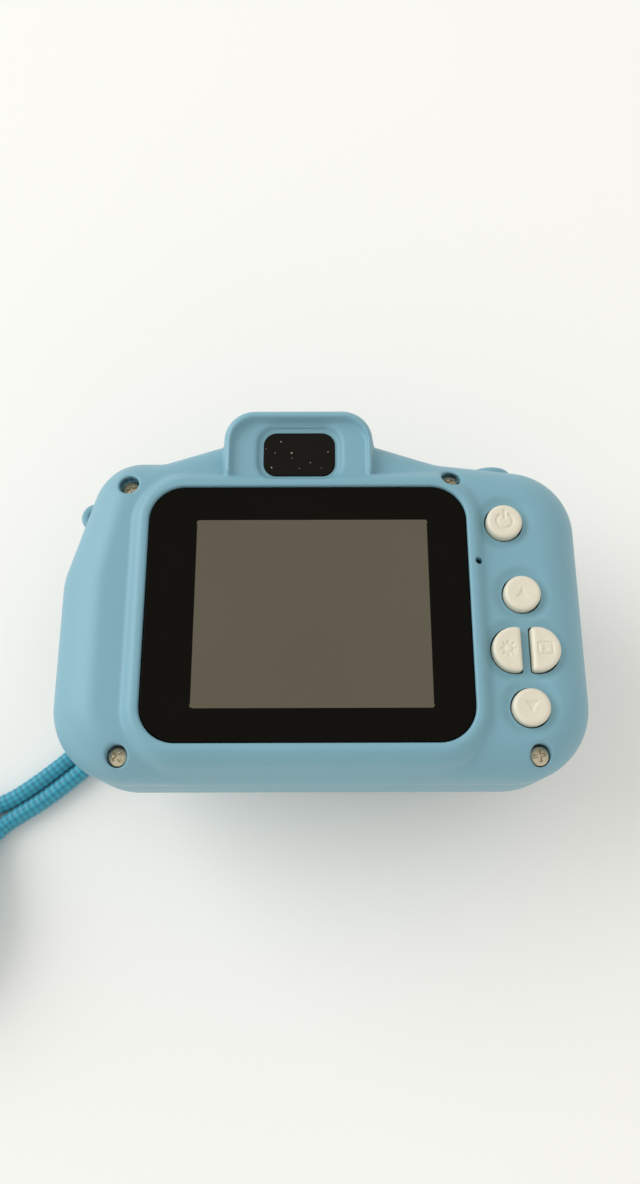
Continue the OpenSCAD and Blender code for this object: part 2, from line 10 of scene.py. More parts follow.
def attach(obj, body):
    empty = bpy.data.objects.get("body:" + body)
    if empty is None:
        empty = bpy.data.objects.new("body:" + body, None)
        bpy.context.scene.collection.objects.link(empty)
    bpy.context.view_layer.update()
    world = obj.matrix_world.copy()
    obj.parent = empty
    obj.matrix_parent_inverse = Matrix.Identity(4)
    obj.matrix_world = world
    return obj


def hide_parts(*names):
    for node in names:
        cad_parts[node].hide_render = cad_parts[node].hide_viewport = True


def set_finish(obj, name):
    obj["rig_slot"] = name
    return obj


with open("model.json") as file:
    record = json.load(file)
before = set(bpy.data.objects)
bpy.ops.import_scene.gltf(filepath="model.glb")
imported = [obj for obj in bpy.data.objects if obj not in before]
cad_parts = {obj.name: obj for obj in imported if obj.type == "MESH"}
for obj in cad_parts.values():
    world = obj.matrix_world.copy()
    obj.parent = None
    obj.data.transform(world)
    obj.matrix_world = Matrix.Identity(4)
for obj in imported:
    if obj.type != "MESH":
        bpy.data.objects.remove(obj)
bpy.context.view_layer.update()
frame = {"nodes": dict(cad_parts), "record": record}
rng = np.random.default_rng(7)
MM = 0.001
TAU = 2 * math.pi
scene = bpy.context.scene

# ---------------------------------------------------------------- camera
CAM_AT = (-0.21, -48.5, 188.2)
CAM_TILT, CAM_ROLL = 17.84, -0.16
SENSOR_WIDTH, FOCAL_LENGTH = 36, 27.97
NEAR, FAR = 0.01, 50

cam_data = bpy.data.cameras.new("camera")
cam_data.sensor_width = SENSOR_WIDTH
cam_data.lens = FOCAL_LENGTH
cam_data.clip_start = NEAR
cam_data.clip_end = FAR
cam = bpy.data.objects.new("camera", cam_data)
cam.location = [c * MM for c in CAM_AT]
cam.rotation_euler = (math.radians(CAM_TILT), 0, math.radians(CAM_ROLL))
scene.collection.objects.link(cam)
scene.camera = cam


# ---------------------------------------------------------------- materials
def srgb(r, g, b):
    """Linear colour of an 8-bit sRGB one."""
    lin = [c / 12.92 if c <= 0.04045 else ((c + 0.055) / 1.055) ** 2.4
           for c in (r / 255, g / 255, b / 255)]
    return (*lin, 1)


def shade(col, k):
    return (*[min(1, c * k) for c in col[:3]], 1)


def material(name, col, rough, vary=0.06, patch=60, grain=2200, bump=0.03, metal=0.0, coat=0.0,
             coat_rough=0.1, transmission=0.0, sheen=0.0, stretch=(1, 1, 1), rough_vary=0.06,
             specular=0.5, depth=0.0001):
    """Procedural material: patchy colour, fine grain in the roughness and in the surface."""
    m = bpy.data.materials.new(name)
    m.use_nodes = True
    nt = m.node_tree
    sh = nt.nodes["Principled BSDF"]
    sh.inputs["Metallic"].default_value = metal
    sh.inputs["Coat Weight"].default_value = coat
    sh.inputs["Coat Roughness"].default_value = coat_rough
    sh.inputs["Transmission Weight"].default_value = transmission
    sh.inputs["Sheen Weight"].default_value = sheen
    sh.inputs["Specular IOR Level"].default_value = specular
    co = nt.nodes.new("ShaderNodeTexCoord")
    mp = nt.nodes.new("ShaderNodeMapping")
    mp.inputs["Scale"].default_value = stretch
    nt.links.new(co.outputs["Object"], mp.inputs["Vector"])
    big = nt.nodes.new("ShaderNodeTexNoise")
    big.inputs["Scale"].default_value = patch
    big.inputs["Detail"].default_value = 4
    fine = nt.nodes.new("ShaderNodeTexNoise")
    fine.inputs["Scale"].default_value = grain
    fine.inputs["Detail"].default_value = 3
    for t in (big, fine):
        nt.links.new(mp.outputs["Vector"], t.inputs["Vector"])
    both = nt.nodes.new("ShaderNodeMix")
    both.inputs["Factor"].default_value = 0.35
    nt.links.new(big.outputs["Fac"], both.inputs["A"])
    nt.links.new(fine.outputs["Fac"], both.inputs["B"])
    ramp = nt.nodes.new("ShaderNodeValToRGB")
    ramp.color_ramp.elements[0].position = 0.3
    ramp.color_ramp.elements[1].position = 0.7
    ramp.color_ramp.elements[0].color = shade(col, 1 - vary)
    ramp.color_ramp.elements[1].color = shade(col, 1 + vary)
    nt.links.new(both.outputs["Result"], ramp.inputs["Fac"])
    nt.links.new(ramp.outputs["Color"], sh.inputs["Base Color"])
    rr = nt.nodes.new("ShaderNodeMapRange")
    rr.inputs["To Min"].default_value = max(0.02, rough - rough_vary)
    rr.inputs["To Max"].default_value = min(1, rough + rough_vary)
    nt.links.new(fine.outputs["Fac"], rr.inputs["Value"])
    nt.links.new(rr.outputs["Result"], sh.inputs["Roughness"])
    bp = nt.nodes.new("ShaderNodeBump")
    bp.inputs["Strength"].default_value = bump
    bp.inputs["Distance"].default_value = depth
    nt.links.new(fine.outputs["Fac"], bp.inputs["Height"])
    nt.links.new(bp.outputs["Normal"], sh.inputs["Normal"])
    return m


BLUE = srgb(122, 168, 183)
SLOT_LOOKS = {
    "case_blue": (BLUE, 0.42, dict(vary=0.025, patch=45, grain=3200, bump=0.10, specular=0.45)),
    "button_white": (srgb(224, 217, 197), 0.38, dict(vary=0.03, patch=300, grain=4000, bump=0.05)),
    "window_black": (srgb(16, 14, 10), 0.2, dict(vary=0.12, patch=120, grain=5000, bump=0.01, specular=0.04)),
    "display_grey": (srgb(95, 89, 75), 0.28, dict(vary=0.05, patch=30, grain=9000, bump=0.01, specular=0.12)),
    "tray_metal": (srgb(200, 200, 196), 0.35, dict(metal=1.0, vary=0.08, stretch=(1, 12, 1), bump=0.08)),
    "screw_steel": (srgb(206, 194, 168), 0.35, dict(metal=0.7, vary=0.18, patch=900, grain=6000, bump=0.2)),
    "tape_foam": (srgb(50, 50, 50), 0.9, dict(vary=0.2, patch=900, grain=5000, bump=0.5)),
    "tunnel_black": (srgb(24, 24, 24), 0.7, dict(vary=0.15, bump=0.1)),
    "trim_silver": (srgb(196, 199, 202), 0.3, dict(metal=0.9, vary=0.04, grain=2600, bump=0.04)),
    "lens_black": (srgb(16, 16, 17), 0.4, dict(vary=0.15, grain=3000, bump=0.08)),
    "clear_glass": (srgb(214, 226, 232), 0.05, dict(transmission=1.0, vary=0.01, bump=0.0, rough_vary=0.01)),
    "board_green": (srgb(34, 104, 60), 0.4, dict(vary=0.18, patch=350, grain=2400, bump=0.15, coat=0.4)),
    "chip_black": (srgb(30, 30, 32), 0.6, dict(vary=0.15, patch=600, grain=4500, bump=0.2)),
    "flex_amber": (srgb(196, 128, 40), 0.3, dict(vary=0.1, patch=400, stretch=(8, 1, 1), bump=0.06, coat=0.4)),
    "socket_steel": (srgb(200, 201, 203), 0.3, dict(metal=1.0, vary=0.08, patch=500, bump=0.1)),
    "battery_foil": (srgb(202, 204, 206), 0.38, dict(metal=0.9, vary=0.08, patch=260, grain=1400, bump=0.3)),
    "wire_red": (srgb(184, 28, 24), 0.5, dict(vary=0.1, patch=700, bump=0.08)),
    "wire_black": (srgb(30, 30, 31), 0.5, dict(vary=0.1, patch=700, bump=0.08)),
    "speaker_black": (srgb(58, 58, 60), 0.45, dict(vary=0.1, patch=500, bump=0.1, metal=0.3)),
    "switch_grey": (srgb(80, 80, 84), 0.5, dict(vary=0.1, patch=600, bump=0.1)),
    "port_rubber": (shade(BLUE, 0.9), 0.6, dict(vary=0.04, patch=120, grain=3600, bump=0.2)),
    "ferrule_teal": (srgb(22, 120, 138), 0.38, dict(vary=0.06, patch=200, bump=0.06)),
}
mats = {name: material(name, col, rough, **rest) for name, (col, rough, rest) in SLOT_LOOKS.items()}
FINDER_GLASS = material("finder_glass", srgb(25, 23, 19), 0.16, vary=0.1, patch=200, grain=5000,
                        bump=0.01, specular=0.06)


def thread_material(name, painted_gap_shade, light, rough=0.42):
    """Satin thread with painted shade and highlight: the colour runs from a shaded copy in the gaps of the braid to a
    lit copy on its raised strands.
    """
    m = material(name, light, rough, vary=0.10, patch=420, grain=7000, bump=0.35, sheen=0.35, depth=0.00006)
    nt = m.node_tree
    sh = nt.nodes["Principled BSDF"]
    # painted shade: the point attribute from the tube mixes the shaded copy into the gaps and the lit copy onto the
    # raised strands
    at = nt.nodes.new("ShaderNodeAttribute")
    at.attribute_name = "painted_crown_light"
    mix = nt.nodes.new("ShaderNodeMix")
    mix.data_type = "RGBA"
    ramp_out = sh.inputs["Base Color"].links[0].from_socket
    nt.links.new(at.outputs["Fac"], mix.inputs["Factor"])
    mix.inputs["A"].default_value = painted_gap_shade
    nt.links.new(ramp_out, mix.inputs["B"])
    nt.links.new(mix.outputs["Result"], sh.inputs["Base Color"])
    return m


# shaded and lit copies of each thread colour, for the painted shade of the braid
mats["strap_teal"] = thread_material("strap_teal", srgb(4, 90, 118), srgb(44, 168, 192))
STRING = thread_material("string_teal", srgb(8, 88, 108), srgb(44, 150, 170), 0.5)


# ---------------------------------------------------------------- mesh helpers
def add_mesh(name, verts, faces, slot_mats, smooth=True, indices=None):
    me = bpy.data.meshes.new(name)
    v = np.asarray(verts, float) * MM
    me.from_pydata(v.tolist(), [], [list(map(int, f)) for f in faces])
    for m in slot_mats:
        me.materials.append(m)
    if indices is not None:
        me.polygons.foreach_set("material_index", np.asarray(indices, np.int32))
    me.polygons.foreach_set("use_smooth", [smooth] * len(me.polygons))
    me.validate()
    me.update()
    ob = bpy.data.objects.new(name, me)
    scene.collection.objects.link(ob)
    return ob


def sharpen(ob, degrees=35):
    ob.data.set_sharp_from_angle(angle=math.radians(degrees))


def settle(ob, body, slot, *nodes):
    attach(ob, body)
    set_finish(ob, slot)
    if nodes:
        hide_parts(*nodes)
    return ob


def smin(a, b, k):
    h = np.clip(0.5 + 0.5 * (b - a) / k, 0, 1)
    return b + (a - b) * h - k * h * (1 - h)


def smax(a, b, k):
    return -smin(-a, -b, k)


def step(a, b, x):
    t = np.clip((x - a) / (b - a), 0, 1)
    return t * t * (3 - 2 * t)


def convex_hull(pts):
    pts = sorted(set(map(tuple, np.round(pts, 6))))

    def half(seq):
        out = []
        for p in seq:
            while len(out) > 1 and ((out[-1][0] - out[-2][0]) * (p[1] - out[-2][1])
                                    - (out[-1][1] - out[-2][1]) * (p[0] - out[-2][0])) <= 0:
                out.pop()
            out.append(p)
        return out
    lower, upper = half(pts), half(pts[::-1])
    return np.array(lower[:-1] + upper[:-1])


def hull_of_circles(circles, n=96):
    a = np.arange(n) / n * TAU
    pts = np.concatenate([np.stack([x + r * np.cos(a), y + r * np.sin(a)], 1) for x, y, r in circles])
    return convex_hull(pts)


def convex_sdf(p, poly):
    """Distance to a convex outline, negative inside."""
    a, b = poly, np.roll(poly, -1, 0)
    best = np.full(len(p), 1e9)
    inside = np.ones(len(p), bool)
    for s, e in zip(a, b):
        d = e - s
        w = p - s
        t = np.clip((w @ d) / (d @ d), 0, 1)
        q = w - t[:, None] * d
        best = np.minimum(best, (q * q).sum(1))
        inside &= (d[0] * w[:, 1] - d[1] * w[:, 0]) >= 0
    best = np.sqrt(best)
    return np.where(inside, -best, best)


def rect_sdf(p, cx, cy, w, h, r):
    q = np.abs(p - [cx, cy]) - [w / 2 - r, h / 2 - r]
    return np.hypot(*np.maximum(q, 0).T) + np.minimum(q.max(1), 0) - r


def rect_ring(cx, cy, w, h, r, grow=0.0, pitch=0.5):
    """Points round a rounded rectangle, anticlockwise."""
    w, h, r = w + 2 * grow, h + 2 * grow, max(0.05, r + grow)
    arc = max(4, round(r * math.pi / 2 / pitch))
    out = []
    for sx, sy, a0 in ((1, -1, -90), (1, 1, 0), (-1, 1, 90), (-1, -1, 180)):
        x, y = cx + sx * (w / 2 - r), cy + sy * (h / 2 - r)
        for i in range(arc + 1):
            a = math.radians(a0 + 90 * i / arc)
            out.append((x + r * math.cos(a), y + r * math.sin(a)))
    return resample(np.array(out), pitch)


def resample(ring, pitch):
    closed = np.vstack([ring, ring[:1]])
    seg = np.hypot(*np.diff(closed, axis=0).T)
    s = np.concatenate([[0], np.cumsum(seg)])
    n = max(8, round(s[-1] / pitch))
    t = np.arange(n) / n * s[-1]
    return np.stack([np.interp(t, s, closed[:, 0]), np.interp(t, s, closed[:, 1])], 1)


def circle_ring(cx, cy, r, pitch=0.35):
    n = max(16, round(TAU * r / pitch))
    a = np.arange(n) / n * TAU
    return np.stack([cx + r * np.cos(a), cy + r * np.sin(a)], 1)


def inward_ring(ring):
    """Unit vectors that point into an anticlockwise ring."""
    t = np.roll(ring, -1, 0) - np.roll(ring, 1, 0)
    n = np.stack([-t[:, 1], t[:, 0]], 1)
    return n / np.linalg.norm(n, axis=1)[:, None]


def in_poly(p, poly):
    inside = np.zeros(len(p), bool)
    j = len(poly) - 1
    for i in range(len(poly)):
        (x0, y0), (x1, y1) = poly[i], poly[j]
        if y0 != y1:
            crossing = (x1 - x0) * (p[:, 1] - y0) / (y1 - y0) + x0
            inside ^= ((y0 > p[:, 1]) != (y1 > p[:, 1])) & (p[:, 0] < crossing)
        j = i
    return inside


def thin(points, pitch):
    """Drops points that share a cell with an earlier one."""
    seen, keep = set(), []
    for i, (x, y) in enumerate(points):
        key = (round(x / pitch), round(y / pitch))
        if key not in seen:
            seen.add(key)
            keep.append(i)
    return points[keep]


def triangulate(outer, holes, guides, fill, gap):
    """Points, triangles and the index loops of outer and holes. guides are rings that the mesh follows."""
    rings = [outer, *holes]
    fixed = np.concatenate(rings + list(guides)) if guides else np.concatenate(rings)
    cells = set()
    for x, y in fixed:
        i, j = int(math.floor(x / gap)), int(math.floor(y / gap))
        cells.update((i + a, j + b) for a in (-1, 0, 1) for b in (-1, 0, 1))
    free = [p for p in fill if (int(math.floor(p[0] / gap)), int(math.floor(p[1] / gap))) not in cells]
    fill = np.array(free).reshape(-1, 2)
    if len(fill):
        ok = in_poly(fill, outer)
        for h in holes:
            ok &= ~in_poly(fill, h)
        fill = fill[ok]
    pts = np.concatenate([fixed, fill])
    edges, start = [], 0
    for r in rings:
        n = len(r)
        edges += [(start + i, start + (i + 1) % n) for i in range(n)]
        start += n
    vs, _, fs, orig, _, _ = delaunay_2d_cdt([Vector(p) for p in pts], edges, [], 0, 1e-6)
    out = np.array([(v.x, v.y) for v in vs])
    new = {o: i for i, os in enumerate(orig) for o in os}
    tri = np.array([f for f in fs if len(f) == 3])
    c = out[tri].mean(1)
    ok = in_poly(c, outer)
    for h in holes:
        ok &= ~in_poly(c, h)
    tri = tri[ok]
    a, b, c = out[tri[:, 0]], out[tri[:, 1]], out[tri[:, 2]]
    flip = ((b - a)[:, 0] * (c - a)[:, 1] - (b - a)[:, 1] * (c - a)[:, 0]) < 0
    tri[flip] = tri[flip][:, ::-1]
    loops, start = [], 0
    for r in rings:
        loops.append([new[start + i] for i in range(len(r))])
        start += len(r)
    return out, tri, loops


def hex_grid(x0, x1, y0, y1, pitch):
    rows = np.arange(y0, y1, pitch * 0.866)
    cols = np.arange(x0, x1, pitch)
    return np.array([(x + (pitch / 2 if k % 2 else 0), y) for k, y in enumerate(rows) for x in cols])


def band(a, b):
    """Quads between two index loops of one length."""
    n = len(a)
    return [(a[i], a[(i + 1) % n], b[(i + 1) % n], b[i]) for i in range(n)]


def relief(name, outer, top, bottom, slot_mats, pitch, guides=(), gap=None, paint=None):
    """Closed solid: a height surface over an outline, straight sides and a flat underside.
    The outline is star-shaped about its middle, and paint gives each face its material index."""
    mid = outer.mean(0)
    lo, hi = outer.min(0), outer.max(0)
    fill = hex_grid(lo[0], hi[0], lo[1], hi[1], pitch)
    pts, tri, loops = triangulate(outer, [], list(guides), fill, gap or pitch * 0.6)
    z = top(pts)
    rim = loops[0]
    verts = [np.column_stack([pts, z])]
    faces = [tuple(t) for t in tri]
    n = len(pts)
    r2 = pts[rim]
    low = np.column_stack([r2, np.full(len(rim), bottom)])
    verts.append(low)
    ids = list(range(n, n + len(rim)))
    faces += band(ids, rim)
    verts.append(np.array([[mid[0], mid[1], bottom]]))
    c = n + len(rim)
    faces += [(ids[(i + 1) % len(ids)], ids[i], c) for i in range(len(ids))]
    v = np.concatenate(verts)
    idx = None
    if paint is not None:
        cen = np.array([v[list(f)].mean(0) for f in faces])
        idx = paint(cen)
    ob = add_mesh(name, v, faces, slot_mats, indices=idx)
    sharpen(ob, 40)
    return ob


def lathe(name, profile, centre, axis, mat, sides=96, closed=True):
    """Solid turned about an axis: profile is a list of (radius, height)."""
    u, v = {"z": ((1, 0, 0), (0, 1, 0)), "y": ((0, 0, 1), (1, 0, 0)), "x": ((0, 1, 0), (0, 0, 1))}[axis]
    w = {"z": (0, 0, 1), "y": (0, 1, 0), "x": (1, 0, 0)}[axis]
    u, v, w, c = map(np.array, (u, v, w, centre))
    verts, faces, rows = [], [], []
    for r, h in profile:
        if r < 1e-6:
            rows.append([len(verts)])
            verts.append(c + h * w)
        else:
            rows.append(list(range(len(verts), len(verts) + sides)))
            for k in range(sides):
                t = TAU * k / sides
                verts.append(c + r * math.cos(t) * u + r * math.sin(t) * v + h * w)
    n = len(rows)
    for i in range(n if closed else n - 1):
        a, b = rows[i], rows[(i + 1) % n]
        if len(a) == 1 and len(b) == 1:
            continue
        for k in range(sides):
            q = [a[k % len(a)], a[(k + 1) % len(a)], b[(k + 1) % len(b)], b[k % len(b)]]
            f = list(dict.fromkeys(q))
            if len(f) > 2:
                faces.append(f)
    ob = add_mesh(name, verts, faces, [mat])
    fix_normals(ob)
    sharpen(ob, 32)
    return ob


def fix_normals(ob):
    bm = bmesh.new()
    bm.from_mesh(ob.data)
    bmesh.ops.recalc_face_normals(bm, faces=bm.faces)
    bm.to_mesh(ob.data)
    bm.free()


# ---------------------------------------------------------------- cords
def spline(route, pitch):
    """Catmull-Rom line through the route, at an even pitch."""
    p = np.array(route, float)
    p = np.vstack([2 * p[0] - p[1], p, 2 * p[-1] - p[-2]])
    out = []
    for i in range(1, len(p) - 2):
        a, b, c, d = p[i - 1:i + 3]
        for t in np.arange(0, 1, 0.02):
            out.append(0.5 * (2 * b + (c - a) * t + (2 * a - 5 * b + 4 * c - d) * t * t
                              + (3 * b - a - 3 * c + d) * t ** 3))
    out.append(p[-2])
    return even(np.array(out), pitch)


def stations_of(p):
    """Distance along a line at each of its points."""
    return np.concatenate([[0], np.cumsum(np.linalg.norm(np.diff(p, axis=0), axis=1))])


def even(p, pitch):
    s = stations_of(p)
    n = max(2, round(s[-1] / pitch))
    t = np.linspace(0, s[-1], n + 1)
    return np.stack([np.interp(t, s, p[:, k]) for k in range(3)], 1)


def length_of(p):
    return float(np.linalg.norm(np.diff(p, axis=0), axis=1).sum())


def braid_tube(name, line, sides, radius, relief_of, mat):
    """Tube along a line with a surface relief: relief_of(distance, angle) gives (extra radius, painted light factor
    for the thread colour).
    """
    n = len(line)
    tan = np.gradient(line, axis=0)
    tan /= np.linalg.norm(tan, axis=1)[:, None]
    up = np.array([0.05, 0.1, 1.0])
    side = np.cross(up, tan)
    side /= np.linalg.norm(side, axis=1)[:, None]
    for i in range(1, n):
        v = side[i - 1] - tan[i] * (side[i - 1] @ tan[i])
        side[i] = v / np.linalg.norm(v)
    other = np.cross(tan, side)
    s = stations_of(line)
    a = np.arange(sides) / sides * TAU
    extra, painted_crown_light = relief_of(s[:, None], a[None, :])
    r = radius + extra
    v = line[:, None, :] + r[..., None] * (np.cos(a)[None, :, None] * side[:, None, :]
                                           + np.sin(a)[None, :, None] * other[:, None, :])
    verts = v.reshape(-1, 3)
    faces = []
    for i in range(n - 1):
        for k in range(sides):
            a0, a1 = i * sides + k, i * sides + (k + 1) % sides
            faces.append((a0, a1, a1 + sides, a0 + sides))
    verts = np.vstack([verts, line[0], line[-1]])
    faces += [((k + 1) % sides, k, n * sides) for k in range(sides)]
    base = (n - 1) * sides
    faces += [(base + k, base + (k + 1) % sides, n * sides + 1) for k in range(sides)]
    ob = add_mesh(name, verts, faces, [mat])
    fix_normals(ob)
    # painted light factor per point, read by the thread material to shade the gaps and light the raised strands
    at = ob.data.attributes.new("painted_crown_light", "FLOAT", "POINT")
    at.data.foreach_set("value", np.concatenate([painted_crown_light.reshape(-1), [0.5, 0.5]]).astype(np.float32))
    return ob


STRAP_D = 3.5
BRAID_PITCH, BRAID_STRANDS = 2.4, 5
STRING_R, STRING_LAY = 0.46, 1.5
STRAND_A = [
    (-40.2, -9.6, 2.3), (-42.2, -13.6, 2.3), (-43.4, -16.2, 1.9), (-46, -19.6, 1.75), (-49.6, -22.9, 1.75),
    (-53.4, -26.1, 1.75), (-57.2, -29, 1.75), (-60.8, -31.4, 1.75), (-64.4, -33, 1.75),
    (-68.6, -34, 1.75), (-73, -33.6, 1.75), (-78, -32.3, 1.75), (-82.5, -31.4, 1.75), (-86.6, -31.15, 1.75)]
STRAND_B = [
    (-36.9, -11, 2.3), (-38.9, -15, 2.3), (-40.4, -18, 1.9), (-43.4, -22, 1.75), (-47.2, -25.5, 1.75),
    (-51.1, -28.8, 1.75), (-55.1, -31.9, 1.75), (-59, -34.4, 1.75), (-62.2, -36.6, 1.9),
    (-64.6, -39.6, 3), (-65.8, -43.2, 5), (-66.2, -47.2, 7.2), (-66.25, -51.5, 8.75)]
STRING_ROUTE = [
    (-37, -7.6, 2.3), (-36.3, -6, 2.3), (-35.8, -3.4, 1.2), (-36, -0.4, 0.6), (-36.8, 2.8, 0.5), (-38, 6, 0.6),
    (-39.4, 9.2, 1.6), (-40.8, 12.2, 4.2), (-41.8, 15, 8.4), (-42.3, 17, 13.2), (-42.5, 18, 18),
    (-42.5, 18.2, 22.4), (-42.4, 18.1, 26.6), (-42.6, 17.4, 28.3), (-43, 16, 28.7), (-43.3, 14.9, 27.4),
    (-43.4, 14.8, 24.6), (-43, 15, 20.4), (-42.4, 14.4, 15.6), (-41.4, 12.8, 10.8), (-40, 10.4, 6.4),
    (-38.2, 7.4, 3), (-36.2, 4.2, 1), (-34.6, 0.8, 0.5), (-34, -2.4, 0.7), (-34.6, -5.4, 2.3), (-35.4, -7.4, 2.3)]
COIL_AT = (-86.6, -51.5)
COIL_RINGS = [(20.35, 1.75), (16.85, 1.75), (16.85, 5.25), (20.35, 5.25), (16.85, 8.75), (20.35, 8.75)]
COIL_TURNS = [415, 764, 1113, 1462, 1811]


def coil_line():
    """Turns of the coil: each change of ring takes 40 degrees, up first and then sideways."""
    out = []
    for a in np.arange(90, 2160.1, 3):
        r, z = COIL_RINGS[0]
        for at, (r1, z1) in zip(COIL_TURNS, COIL_RINGS[1:]):
            both = abs(r1 - r) > 0.1 and abs(z1 - z) > 0.1
            up = float(step(at - 25, at, a) if both else step(at - 20, at + 20, a))
            along = float(step(at, at + 25, a) if both else step(at - 20, at + 20, a))
            r, z = r + (r1 - r) * along, z + (z1 - z) * up
        t = math.radians(a)
        out.append((COIL_AT[0] + r * math.cos(t), COIL_AT[1] + r * math.sin(t), z))
    return np.array(out)


line_a = spline(STRAND_A, 0.5)
line_b = spline(STRAND_B, 0.5)[::-1]
whole = np.vstack([line_a[:-1], coil_line(), line_b[1:]])
SEEN_PITCH, HIDDEN_PITCH = 0.22, 0.62
len_a, len_b = length_of(line_a), length_of(line_b)
whole = even(whole, 0.1)
s_all = stations_of(whole)
total = s_all[-1]
stations = np.concatenate([
    np.arange(0, len_a, SEEN_PITCH), np.arange(len_a, total - len_b, HIDDEN_PITCH),
    np.arange(total - len_b, total, SEEN_PITCH)])
strap_line = np.stack([np.interp(stations, s_all, whole[:, k]) for k in range(3)], 1)


def strap_relief(s, a):
    """Braided strap cord: two crossing families of diagonal strands, and a painted light factor that is high on the
    strands lying over and low in the gaps.
    """
    q, m = TAU / BRAID_PITCH, BRAID_STRANDS
    u, v = m * a + q * s, m * a - q * s
    over = np.cos(u) * np.cos(v)
    # painted light: lighter where a strand lies over, painted shade where it dips under
    painted_crown_light = 0.5 + 0.5 * over
    return 0.11 * over, np.clip(0.25 + 0.8 * painted_crown_light, 0, 1)


strap = braid_tube("strap_cord", strap_line, 36, STRAP_D / 2 - 0.08, strap_relief, mats["strap_teal"])
FERRULE = (-38.6, -10.4)
FERRULE_TURN = math.radians(-24)


def ferrule_mesh():
    """Oval sleeve with a rolled lip at both mouths and two shallow waists."""
    rows = [(-4.8, -0.35), (-4.7, -0.1), (-4.4, 0.0), (-3.7, 0.0), (-3.4, -0.18), (-3.1, -0.28), (-2.2, -0.3),
            (2.2, -0.3), (3.1, -0.28), (3.4, -0.18), (3.7, 0.0), (4.4, 0.0), (4.7, -0.1), (4.8, -0.35)]
    inner = [(4.6, -0.75), (4.0, -0.8), (-4.0, -0.8), (-4.6, -0.75)]
    sides = 72
    verts, faces = [], []
    t = np.arange(sides) / sides * TAU
    cos, sin = math.cos(FERRULE_TURN), math.sin(FERRULE_TURN)
    allrows = rows + inner
    for y, g in allrows:
        ring = rect_ring(0, 0, 9, 4.6, 2.2, g, 0.33)
        ring = resample(ring, length_of(np.vstack([ring, ring[:1]])) / sides)[:sides]
        while len(ring) < sides:
            ring = np.vstack([ring, ring[-1:]])
        for x, z in ring:
            verts.append((FERRULE[0] + x * cos - y * sin, FERRULE[1] + x * sin + y * cos, 2.3 + z))
    n = len(allrows)
    for i in range(n):
        j = (i + 1) % n
        for k in range(sides):
            faces.append((i * sides + k, i * sides + (k + 1) % sides, j * sides + (k + 1) % sides, j * sides + k))
    ob = add_mesh("strap_ferrule_sleeve", verts, faces, [mats["ferrule_teal"]])
    fix_normals(ob)
    sharpen(ob, 50)
    return ob


ferrule = ferrule_mesh()
settle(ferrule, "case", "ferrule_teal", "strap_ferrule")
settle(strap, "case", "strap_teal", "strap_strand_a", "strap_strand_b", "strap_coil")

string_line = spline(STRING_ROUTE, 0.12)


def string_relief(s, a):
    lay = np.cos(2 * a + TAU / STRING_LAY * s)
    # second value is painted light: lighter on the raised lay of the string, painted shade in its grooves
    return 0.05 * lay, 0.5 + 0.5 * lay


string = braid_tube("strap_string_loop", string_line, 16, STRING_R, string_relief, STRING)
settle(string, "case", "strap_teal", "strap_string")


# ---------------------------------------------------------------- outline of the case
CASE = [(-32, -19.25, 13), (32, -19.25, 13), (33.2, 11.3, 11.8), (20, 15.7, 9), (-31.7, 15.8, 9.2),
        (-32.8, 1, 12.2)]
HUMP = [(-11.4, 26.75, 5.5), (3.8, 26.75, 5.5), (3.8, 12, 5.5), (-11.4, 12, 5.5)]
SHOULDERS = [(-28, 19.4, 4.5), (-14.5, 23.7, 4.5), (6.9, 23.7, 4.5), (21, 19, 4.5)]
case_poly, hump_poly, shoulder_poly = map(hull_of_circles, (CASE, HUMP, SHOULDERS))
WINDOW = (-2.15, -4.7, 53.9, 43.9, 6)
LCD = (-1.4, -5, 39.1, 32.3, 0.5)
FINDER = (-3.65, 24.15, 12.6, 8.4, 2.4)
FINDER_PANE = (FINDER[0], FINDER[1], 12.4, 8.2, 2.3)
PANEL = (-3.5, 22.05, 22.8, 15, 4)
PANEL_LONG = (PANEL[0], PANEL[1] - 3, PANEL[2], PANEL[3] + 6, PANEL[4])
SCREWS = [(-33.3, 18.5), (22.8, 19.4), (-32.7, -28.3), (35.2, -28.3)]
ROUND_BUTTONS = {"power": (31.4, 10.9), "up": (33.6, -1.9), "down": (33.8, -21)}
BUTTON_R, GAP = 3.05, 0.25
BUTTON_TOP = 43.0
PAIR = (33.65, -11.45)
MIC = (26.6, 3.75)
SPLIT_Z = 31
CAP_BOTTOM = 38.1
WINDOW_TOP, WINDOW_BACK = 42.9, 41.9
PANE_TOP, PANE_BACK = 41.6, 40.6
RIM_TOP = 43.4
DISH = 0.55
WELL_R, WELL_FLOOR = 1.8, 37.2
HEAD_R, HEAD_TOP = 1.6, 39.4
HALF_WIDTH, HALF_HEIGHT = 45, 32.3
LENS = (-3.8, -3, 0)
SHUTTER_AT = (31.9, 0, 28.2)
SPEAKER, SPEAKER_HOLE_R, SPEAKER_RING = (27, -12), 0.8, 4


def sdf_body(p):
    return smin(convex_sdf(p, case_poly), convex_sdf(p, shoulder_poly), 2.5)


def sdf_all(p):
    return smin(sdf_body(p), convex_sdf(p, hump_poly), 1.6)


def find_outline(pitch):
    """Outline of the whole case: distance along rays from a point that sees all of it."""
    c = np.array([-3.8, 0.0])
    a = np.arange(1600) / 1600 * TAU
    d = np.stack([np.cos(a), np.sin(a)], 1)
    lo, hi = np.full(len(a), 15.0), np.full(len(a), 62.0)
    for _ in range(26):
        mid = (lo + hi) / 2
        inside = sdf_all(c + mid[:, None] * d) < 0
        lo, hi = np.where(inside, mid, lo), np.where(inside, hi, mid)
    return resample(c + lo[:, None] * d, pitch)


